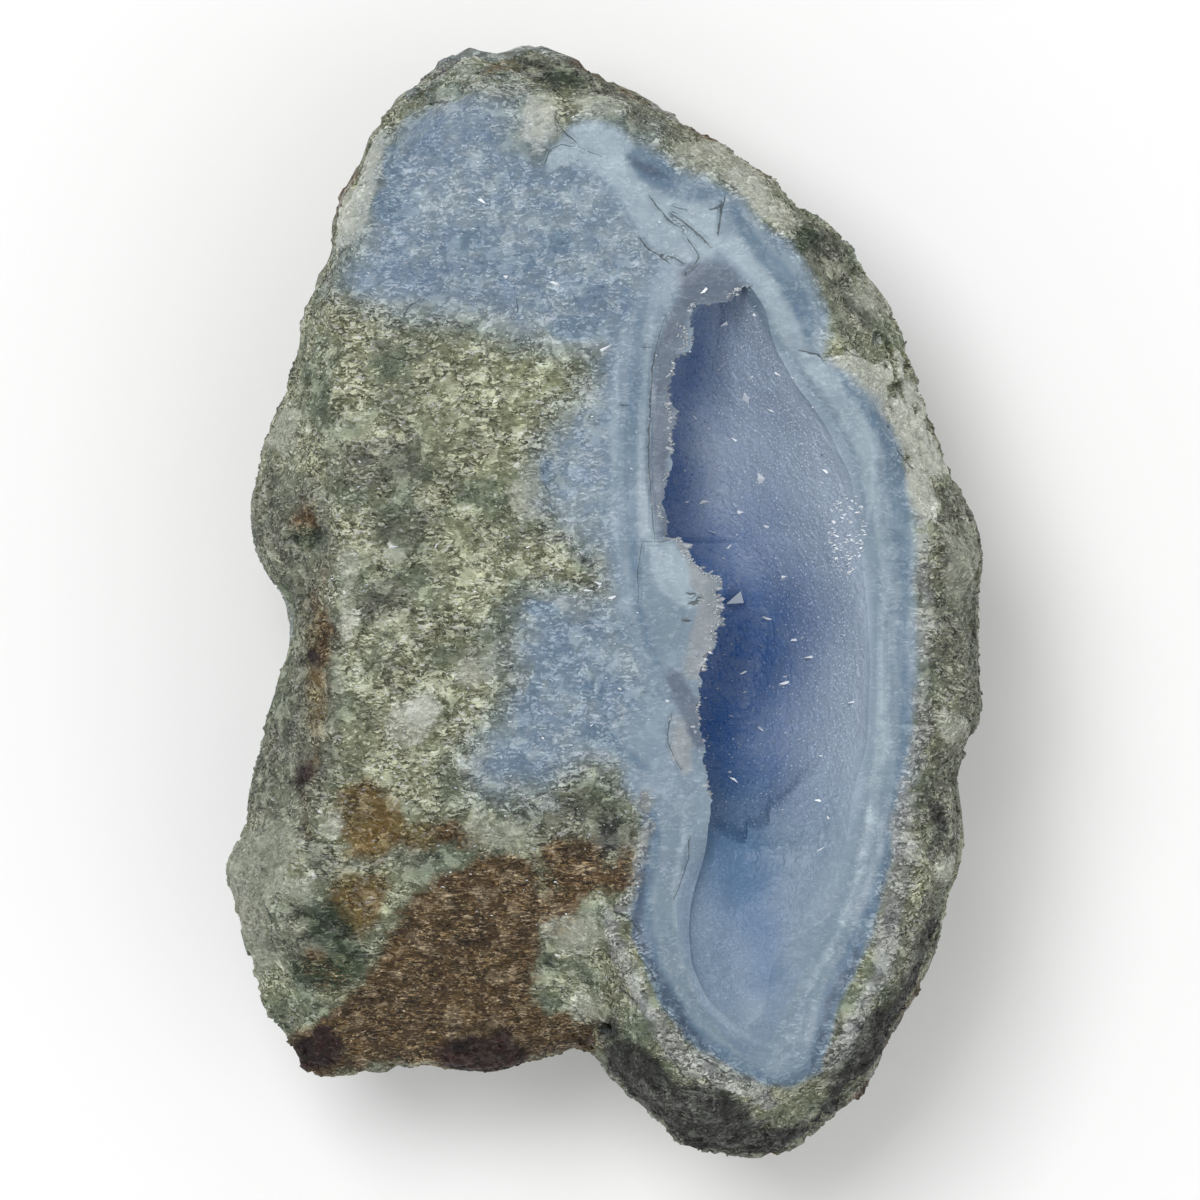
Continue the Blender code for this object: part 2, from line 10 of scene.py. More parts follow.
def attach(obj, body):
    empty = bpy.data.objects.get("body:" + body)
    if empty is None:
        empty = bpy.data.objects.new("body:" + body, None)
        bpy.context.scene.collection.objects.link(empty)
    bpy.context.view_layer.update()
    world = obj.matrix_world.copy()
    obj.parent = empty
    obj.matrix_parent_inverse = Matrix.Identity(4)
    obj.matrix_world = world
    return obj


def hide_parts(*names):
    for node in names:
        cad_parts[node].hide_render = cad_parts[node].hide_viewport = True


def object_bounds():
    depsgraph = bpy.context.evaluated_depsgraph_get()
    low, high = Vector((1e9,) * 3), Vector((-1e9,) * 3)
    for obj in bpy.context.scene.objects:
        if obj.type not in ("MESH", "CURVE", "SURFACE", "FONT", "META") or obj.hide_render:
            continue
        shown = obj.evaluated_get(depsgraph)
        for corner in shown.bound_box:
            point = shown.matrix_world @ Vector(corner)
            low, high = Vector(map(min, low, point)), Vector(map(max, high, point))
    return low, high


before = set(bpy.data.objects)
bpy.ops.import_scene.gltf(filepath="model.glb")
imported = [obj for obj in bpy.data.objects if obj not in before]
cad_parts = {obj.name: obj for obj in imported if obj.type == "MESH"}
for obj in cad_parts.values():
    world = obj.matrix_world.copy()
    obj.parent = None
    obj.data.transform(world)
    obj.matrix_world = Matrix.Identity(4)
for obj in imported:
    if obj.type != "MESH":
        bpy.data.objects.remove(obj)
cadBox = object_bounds()
print("frame loaded")

mm = 0.001
scene = bpy.context.scene


def smoothStep(low, high, values):
    share = np.clip((values - low) / (high - low), 0.0, 1.0)
    return share * share * (3.0 - 2.0 * share)


# a repeatable random number from 0 to 1 for each whole-number cell
def cellRandom(cells, salt):
    mixed = cells[..., 0] * 73856093 ^ cells[..., 1] * 19349663
    mixed = mixed ^ cells[..., 2] * 83492791 ^ salt * 7919
    mixed = mixed & 0xFFFFFFFF
    mixed = ((mixed ^ (mixed >> 15)) * 2246822519) & 0xFFFFFFFF
    mixed = ((mixed ^ (mixed >> 13)) * 3266489917) & 0xFFFFFFFF
    return ((mixed ^ (mixed >> 16)) & 0xFFFFFF) / float(0xFFFFFF)


# soft waves from -1 to 1, about one rise or fall in each wavelength
def waves(points, wavelength, salt):
    place = points / wavelength
    base = np.floor(place).astype(np.int64)
    part = place - base
    part = part**3 * (part * (part * 6.0 - 15.0) + 10.0)
    total = np.zeros(len(points))
    for corner in range(8):
        step = np.array([corner & 1, corner >> 1 & 1, corner >> 2 & 1])
        weight = np.prod(np.where(step == 1, part, 1.0 - part), axis=1)
        total += weight * cellRandom(base + step, salt)
    return total * 2.0 - 1.0


# broken grains: each cell is a small tilted flat, and this is its height from -1 to 1
def facets(points, size, salt):
    place = points / size
    base = np.floor(place).astype(np.int64)
    nearest = np.full(len(points), 1e9)
    height = np.zeros(len(points))
    for step in np.ndindex(3, 3, 3):
        cell = base + np.array(step) - 1
        centre = cell + np.stack([cellRandom(cell, salt + k) for k in range(3)], axis=1)
        away = place - centre
        gap = np.einsum("ij,ij->i", away, away)
        tilt = np.stack([cellRandom(cell, salt + 10 + k) - 0.5 for k in range(3)], axis=1)
        here = (cellRandom(cell, salt + 20) - 0.5) * 0.9 + np.einsum("ij,ij->i", away, tilt) * 1.6
        closer = gap < nearest
        nearest = np.where(closer, gap, nearest)
        height = np.where(closer, here, height)
    return height


def meshPoints(mesh):
    flat = np.empty(len(mesh.vertices) * 3)
    mesh.vertices.foreach_get("co", flat)
    return flat.reshape(-1, 3) / mm


def meshNormals(mesh):
    flat = np.empty(len(mesh.vertices) * 3)
    mesh.vertices.foreach_get("normal", flat)
    return flat.reshape(-1, 3)


def setMeshPoints(mesh, points):
    mesh.vertices.foreach_set("co", (points * mm).ravel())
    mesh.update()


def addObject(name, data):
    obj = bpy.data.objects.new(name, data)
    scene.collection.objects.link(obj)
    return obj


# the object's mesh with its modifiers applied; the modifiers go
def applyModifiers(obj):
    bpy.context.view_layer.update()
    evaluated = obj.evaluated_get(bpy.context.evaluated_depsgraph_get())
    mesh = bpy.data.meshes.new_from_object(evaluated)
    obj.modifiers.clear()
    obj.data = mesh
    mesh.name = obj.name


def remesh(obj, voxel):
    modifier = obj.modifiers.new("even cells", "REMESH")
    modifier.mode = "VOXEL"
    modifier.voxel_size = voxel * mm
    applyModifiers(obj)


def cutWith(obj, cutter, operation):
    modifier = obj.modifiers.new("cut", "BOOLEAN")
    modifier.operation = operation
    modifier.object = cutter
    modifier.solver = "MANIFOLD"
    applyModifiers(obj)


def setAttribute(mesh, name, values):
    layer = mesh.attributes.new(name, "FLOAT", "POINT")
    layer.data.foreach_set("value", np.asarray(values, dtype=np.float32))


# the form, with the same values as the solid part

form = {
    "faceHeight": 40.5, "faceSlopeX": -0.035, "faceSlopeY": 0.012,
    "waistHeight": 23.0, "blankHeight": 48.0, "footCut": 0.9,
    "waistSways": ((2, 3.0, 40.0), (5, 1.8, 115.0)),
    "outlineCentre": (-0.5, 0.0), "outlineMargin": 0.45, "rimPoints": 180,
    "footCentre": (-3.0, 1.0), "footRadii": (37.0, 53.0),
    "creaseSharpness": 4.0, "edgeRollLeft": 4.0, "edgeRollRight": 7.0,
    "edgeRollTurnX": (-8.0, 14.0), "edgeRollDrop": 9.0,
    "scarKeepsWaist": (1.5, 6.5),
    "ledgeEdgeY": 5.9, "ledgeX": (4.0, 11.0), "ledgeHeight": 0.8, "ledgeFade": 9.0,
    "footCalm": 0.25, "footCalmTo": 5.0,
    "faceWaves": ((12.0, 0.7), (5.0, 0.5)),
    "backWaves": ((15.0, 1.3), (7.0, 0.9), (4.0, 0.4)),
    "blankVoxel": 1.1,
}

# the outline from above in millimetres, counter-clockwise from the top peak
outline = (
    (-6.7, 55.8), (-8.0, 55.4), (-9.1, 54.7), (-11.2, 54.5), (-12.3, 55.1), (-13.5, 55.4),
    (-15.5, 54.5),
    (-16.9, 53.7), (-18.1, 52.4), (-20.1, 50.8), (-21.5, 49.6), (-22.4, 48.0), (-23.4, 46.8),
    (-23.8, 45.4), (-24.2, 43.2), (-26.2, 40.5), (-26.7, 38.0), (-26.4, 36.0), (-28.1, 32.0),
    (-29.4, 29.5), (-29.8, 27.5), (-30.2, 24.0), (-31.3, 21.0), (-32.0, 18.8), (-33.1, 17.0),
    (-33.7, 15.0), (-34.1, 11.9), (-34.9, 10.2), (-34.9, 8.8), (-34.3, 5.0), (-33.2, 2.5),
    (-31.5, 0.6),
    (-30.7, -1.2), (-30.8, -4.2), (-32.0, -7.8), (-33.3, -12.2), (-33.9, -16.5), (-35.1, -19.3),
    (-35.5, -22.5), (-36.0, -23.9), (-37.2, -25.3), (-38.0, -26.8), (-37.9, -27.8), (-37.0, -30.3),
    (-36.5, -32.5), (-35.4, -36.0), (-34.2, -40.0), (-32.6, -42.8), (-31.0, -44.0), (-30.6, -44.8),
    (-30.2, -46.8), (-29.3, -47.5), (-24.4, -47.5), (-21.5, -47.3), (-19.1, -46.3), (-15.3, -46.6),
    (-11.9, -47.1), (-10.0, -47.0), (-7.6, -45.8), (-4.9, -45.3), (-1.1, -44.2), (-0.3, -45.2),
    (0.6, -46.9), (1.8, -48.0), (2.2, -49.0), (5.6, -51.4), (6.1, -52.2), (8.2, -54.5),
    (9.9, -55.4),
    (13.9, -55.5), (15.6, -55.8), (17.9, -55.4), (20.7, -54.1), (22.3, -52.7), (25.3, -50.2),
    (26.7, -49.0), (28.2, -46.2), (29.0, -44.3), (29.0, -43.3), (29.9, -42.0), (31.4, -40.0),
    (33.5, -34.4), (34.6, -29.8), (35.6, -27.2), (36.1, -24.5), (36.1, -21.2), (35.6, -19.2),
    (35.5, -17.5), (36.0, -15.3), (37.3, -12.8), (37.9, -11.5), (37.8, -8.3), (37.2, -6.6),
    (37.5, -5.0),
    (37.4, -1.8), (37.0, -0.3), (37.8, 2.1), (37.6, 5.0), (37.3, 8.4), (36.2, 10.2), (34.0, 14.0),
    (33.0, 17.0), (31.3, 21.7), (30.7, 24.4), (30.1, 25.1), (29.1, 28.6), (28.5, 30.1),
    (26.6, 32.5),
    (24.7, 34.8), (24.1, 36.3), (22.8, 37.5), (19.6, 38.8), (18.1, 40.7), (17.7, 41.9),
    (16.6, 42.9),
    (14.7, 43.3), (13.1, 45.2), (11.9, 46.2), (9.3, 46.1), (7.4, 48.2), (4.4, 49.9), (3.3, 50.9),
    (0.2, 52.1), (-1.6, 53.4), (-2.5, 54.3), (-5.2, 55.2),
)
rimLine = outline + outline[:1]

# rings of the back: share of the waist's height, of the width, and of the foot's oval
backRings = (
    (0.00, 0.20, 1.00), (0.00, 0.38, 1.00), (0.07, 0.52, 0.95), (0.19, 0.66, 0.85),
    (0.36, 0.79, 0.62), (0.56, 0.89, 0.38), (0.78, 0.96, 0.15), (0.92, 0.99, 0.04),
)
frontRings = ((0.00, 1.000), (0.15, 0.996), (0.40, 0.975), (1.00, 0.940))

# flat scars on the sides and back: bearing, tilt and depth
scars = (
    (15.0, -38.0, 4.0), (62.0, -30.0, 3.5), (105.0, -42.0, 4.5), (150.0, -33.0, 3.5),
    (196.0, -40.0, 4.5),
    (238.0, -48.0, 4.0), (283.0, -32.0, 4.5), (327.0, -44.0, 4.0), (25.0, 24.0, 3.0),
    (78.0, 30.0, 3.0),
    (128.0, 26.0, 3.0), (212.0, 22.0, 3.0), (303.0, 28.0, 3.0),
)

# breaks that slope away from the main face: a point on the crease, bearing, dip, fade in x
breaks = (
    (-26.2, -6.0, 179.0, 54.0, None), (-21.5, 42.0, 163.0, 40.0, None),
    (-6.0, 51.0, 86.0, 46.0, None),
    (9.0, 44.0, 54.0, 36.0, None), (32.3, 8.0, 8.0, 42.0, None), (30.0, -36.0, 332.0, 40.0, None),
    (-10.6, -25.4, 262.0, 33.0, (-3.0, 6.0)), (-14.0, -22.0, 226.0, 19.0, (-6.0, 2.0)),
    (15.0, -50.5, 271.0, 40.0, None),
)

# lumps and dips of the face: x, y, radius, height
lumps = (
    (-34.0, -27.0, 6.0, 2.2), (-33.0, 8.0, 5.5, 1.4), (-14.5, 52.5, 4.5, 1.6),
    (-6.0, 54.0, 3.5, 1.4),
    (8.0, 0.0, 6.0, 0.9), (3.6, -37.5, 3.5, 1.3), (6.8, -44.0, 3.5, 1.4), (12.0, -49.0, 3.5, 1.2),
    (30.5, 20.5, 4.5, 1.0), (35.0, -10.0, 4.0, 1.0), (33.0, -27.0, 4.0, 0.9),
    (-20.0, 20.0, 7.0, 1.0),
    (-11.0, 4.0, 8.0, 0.8), (-22.0, -9.0, 6.0, 0.9), (-7.0, -12.0, 6.0, 0.6),
    (-12.0, 38.0, 9.0, 0.7),
    (-15.0, 12.0, 5.0, -0.9), (-22.0, 31.0, 6.0, -0.8), (-2.0, 24.0, 8.0, -0.5),
    (-18.0, -19.0, 5.0, -1.1), (-0.6, -43.2, 2.4, -2.0), (28.4, -43.6, 2.4, -1.6),
    (33.6, 1.0, 3.0, -1.1),
    (35.0, -18.0, 2.8, -1.2), (19.0, 41.0, 2.6, -0.9),
)

# the hollow: y, contact x, crystal tip x, right rim x, depth, undercut
hollowStations = (
    (34.6, 10.5, 10.8, 11.5, 1.2, 0.0), (33.8, 9.6, 10.6, 12.6, 3.0, 0.0),
    (32.8, 8.8, 10.4, 14.2, 5.0, 0.2), (31.3, 8.2, 10.0, 15.3, 7.5, 0.6),
    (29.0, 7.4, 9.2, 17.0, 10.0, 1.2), (25.5, 6.1, 8.8, 18.9, 12.5, 2.0),
    (21.0, 5.1, 7.0, 21.5, 14.5, 2.8), (17.0, 4.9, 7.0, 24.6, 15.5, 3.4),
    (12.0, 4.9, 6.6, 26.8, 16.0, 3.8), (6.6, 5.3, 6.8, 27.7, 16.5, 4.0),
    (4.0, 7.2, 9.2, 28.0, 16.8, 4.4),
    (1.0, 9.3, 11.8, 28.3, 17.0, 5.0), (-2.0, 8.6, 11.9, 28.5, 17.0, 5.0),
    (-5.0, 7.6, 11.0, 28.5, 17.0, 4.6), (-8.0, 7.6, 9.9, 28.5, 16.8, 4.2),
    (-12.0, 7.4, 9.7, 28.3, 15.8, 3.6), (-15.0, 7.6, 10.2, 28.1, 14.0, 2.8),
    (-18.0, 8.6, 10.7, 27.8, 11.5, 1.8), (-21.0, 9.6, 11.1, 27.4, 8.8, 0.8),
    (-25.0, 8.8, 10.2, 26.8, 6.2, 0.0), (-30.0, 7.4, 8.6, 25.4, 5.0, 0.0),
    (-35.0, 7.8, 9.0, 23.4, 4.3, 0.0), (-40.0, 9.8, 11.0, 20.8, 3.4, 0.0),
    (-44.0, 12.6, 13.8, 18.8, 2.3, 0.0), (-46.4, 14.8, 15.4, 17.2, 1.0, 0.0),
)
hollowSection = (
    (0.00, 0.00, 0.00), (0.00, 0.30, 0.15), (0.00, 0.85, 0.40), (0.00, 1.00, 0.63),
    (0.05, 0.70, 0.85), (0.15, 0.20, 0.97), (0.30, 0.00, 1.00), (0.48, 0.00, 0.87),
    (0.66, 0.00, 0.64), (0.84, 0.00, 0.34), (1.00, 0.00, 0.00),
)


def evenlySpaced(points, count):
    closed = np.array(points + points[:1])
    steps = np.linalg.norm(np.diff(closed, axis=0), axis=1)
    along = np.concatenate(([0.0], np.cumsum(steps)))
    wanted = np.linspace(0.0, along[-1], count, endpoint=False)
    return np.stack([np.interp(wanted, along, closed[:, axis]) for axis in (0, 1)], axis=1)


# points on a smooth curve through the control points, at shares 0 to 1
def smoothPath(points, shares):
    control = np.array(points)
    padded = np.vstack([2 * control[0] - control[1], control, 2 * control[-1] - control[-2]])
    place = np.clip(np.asarray(shares), 0.0, 1.0) * (len(control) - 1)
    first = np.minimum(place.astype(int), len(control) - 2)
    t = (place - first)[:, None]
    a, b, c, d = (padded[first + step] for step in range(4))
    return 0.5 * (2 * b + (c - a) * t + (2 * a - 5 * b + 4 * c - d) * t**2 + (3 * b - a - 3 * c + d)
                  * t**3)


# the share from 0 to 1 of a straight run where it is nearest to each point
def nearestShare(points, start, run):
    return np.clip(((points - start) @ run) / max(run @ run, 1e-9), 0.0, 1.0)


# distance to a line of points
def lineDistance(x, y, line):
    points = np.stack([x, y], axis=-1)
    nearest = np.full(points.shape[:-1], np.inf)
    for start, end in zip(line[:-1], line[1:]):
        start = np.array(start[:2])
        run = np.array(end[:2]) - start
        gap = np.linalg.norm(points - start - nearestShare(points, start, run)[..., None] * run,
                             axis=-1)
        nearest = np.minimum(nearest, gap)
    return nearest


def faceHeight(x, y):
    height = form["faceHeight"] + form["faceSlopeX"] * x + form["faceSlopeY"] * y
    drops = np.zeros(np.shape(x))
    for atX, atY, bearing, dip, fade in breaks:
        angle = math.radians(bearing)
        run = (x - atX) * math.cos(angle) + (y - atY) * math.sin(angle)
        drop = np.maximum(run, 0.0) * math.tan(math.radians(dip))
        if fade:
            drop = drop * (1.0 - smoothStep(fade[0], fade[1], x))
        drops = drops + drop ** form["creaseSharpness"]
    turn = smoothStep(*form["edgeRollTurnX"], x)
    width = form["edgeRollLeft"] + (form["edgeRollRight"] - form["edgeRollLeft"]) * turn
    inwards = np.clip(lineDistance(x, y, rimLine) / width, 0.0, 1.0)
    roll = form["edgeRollDrop"] * (1.0 - np.sqrt(1.0 - (1.0 - inwards) ** 2))
    drops = drops + roll ** form["creaseSharpness"]
    height = height - drops ** (1.0 / form["creaseSharpness"])
    for atX, atY, radius, rise in lumps:
        height = height + rise * np.exp(-((x - atX) ** 2 + (y - atY) ** 2) / radius**2)
    left, right = form["ledgeX"]
    edge = form["ledgeEdgeY"]
    ledge = smoothStep(left - 0.6, left + 0.6, x) * (1.0 - smoothStep(right, right + 4.0, x))
    ledge = ledge * (1.0 - smoothStep(edge - 0.15, edge + 0.15, y))
    ledge = ledge * smoothStep(edge - form["ledgeFade"], edge - 3.0, y)
    return height + form["ledgeHeight"] * ledge


def roughness(points, layers):
    total = np.zeros(len(points))
    for wavelength, height in layers:
        total += height * np.array([noise.noise(Vector(point) / wavelength) for point in points])
    return total


def faceOutwards(mesh):
    bm = bmesh.new()
    bm.from_mesh(mesh)
    bmesh.ops.recalc_face_normals(bm, faces=bm.faces[:])
    bm.to_mesh(mesh)
    bm.free()
    mesh.update()


def meshObject(name, points, faces):
    mesh = bpy.data.meshes.new(name)
    mesh.from_pydata((np.asarray(points) * mm).tolist(), [], faces)
    faceOutwards(mesh)
    return addObject(name, mesh)


# a closed solid through rings of equal point counts, with flat ends
def loft(name, rings):
    count = len(rings[0])
    points = np.concatenate(rings)
    faces = [tuple(range(count)), tuple(range(len(points) - count, len(points)))]
    for ring in range(len(rings) - 1):
        low = ring * count
        for i in range(count):
            j = (i + 1) % count
            faces.append((low + i, low + j, low + count + j, low + count + i))
    return meshObject(name, points, faces)


def blankRings():
    rim = evenlySpaced(outline, form["rimPoints"])
    centre = np.array(form["outlineCentre"])
    foot = np.array(form["footCentre"])
    angle = np.arctan2(rim[:, 1] - centre[1], rim[:, 0] - centre[0])
    oval = foot + np.array(form["footRadii"]) * np.stack([np.cos(angle), np.sin(angle)], axis=1)
    waist = np.full(len(rim), form["waistHeight"])
    for often, sway, start in form["waistSways"]:
        waist += sway * np.sin(often * angle + math.radians(start))
    rings = []
    for heightShare, widthShare, ovalShare in backRings:
        middle = centre + ovalShare * (foot - centre)
        ring = middle + widthShare * ((1.0 - ovalShare) * rim + ovalShare * oval - middle)
        cut = form["footCut"]
        rings.append(np.column_stack([ring, heightShare * (waist + cut) - cut]))
    for heightShare, widthShare in frontRings:
        ring = centre + widthShare * (rim - centre)
        rings.append(np.column_stack([ring, waist + heightShare * (form["blankHeight"] - waist)]))
    return rings


def cutScars(points):
    for bearing, tilt, depth in scars:
        turn = math.radians(bearing)
        rise = math.radians(tilt)
        out = np.array((math.cos(turn) * math.cos(rise), math.sin(turn) * math.cos(rise),
                        math.sin(rise)))
        reach = points @ out
        beyond = np.maximum(reach - (reach.max() - depth), 0.0)
        share = smoothStep(*form["scarKeepsWaist"], np.abs(points[:, 2] - form["waistHeight"]))
        points = points - out * (beyond * share)[:, None]
    return points


def hollowStation(y):
    table = np.array(hollowStations)[::-1]
    return [np.interp(y, table[:, 0], table[:, column]) for column in range(1, 6)]


# one section of the hollow at y, closed above the face
def hollowRing(y, left, right, depth, undercut, shares, section=hollowSection):
    path = smoothPath(section, shares)
    x = left + path[:, 0] * (right - left) - path[:, 1] * undercut
    rims = faceHeight(np.array([left, right]), np.array([y, y]))
    z = rims[0] + path[:, 0] * (rims[1] - rims[0]) - path[:, 2] * depth
    clear = 12.0
    top = max(rims) + clear
    run = x[-1] - x[-2]
    rise = z[-1] - z[-2]
    reach = min(6.0 / run, clear / rise)
    x = np.append(x, [x[-1] + reach * run, x[-1] + reach * run, x[0]])
    z = np.append(z, [z[-1] + reach * rise, top, top])
    return np.column_stack([x, np.full(len(x), y), z])


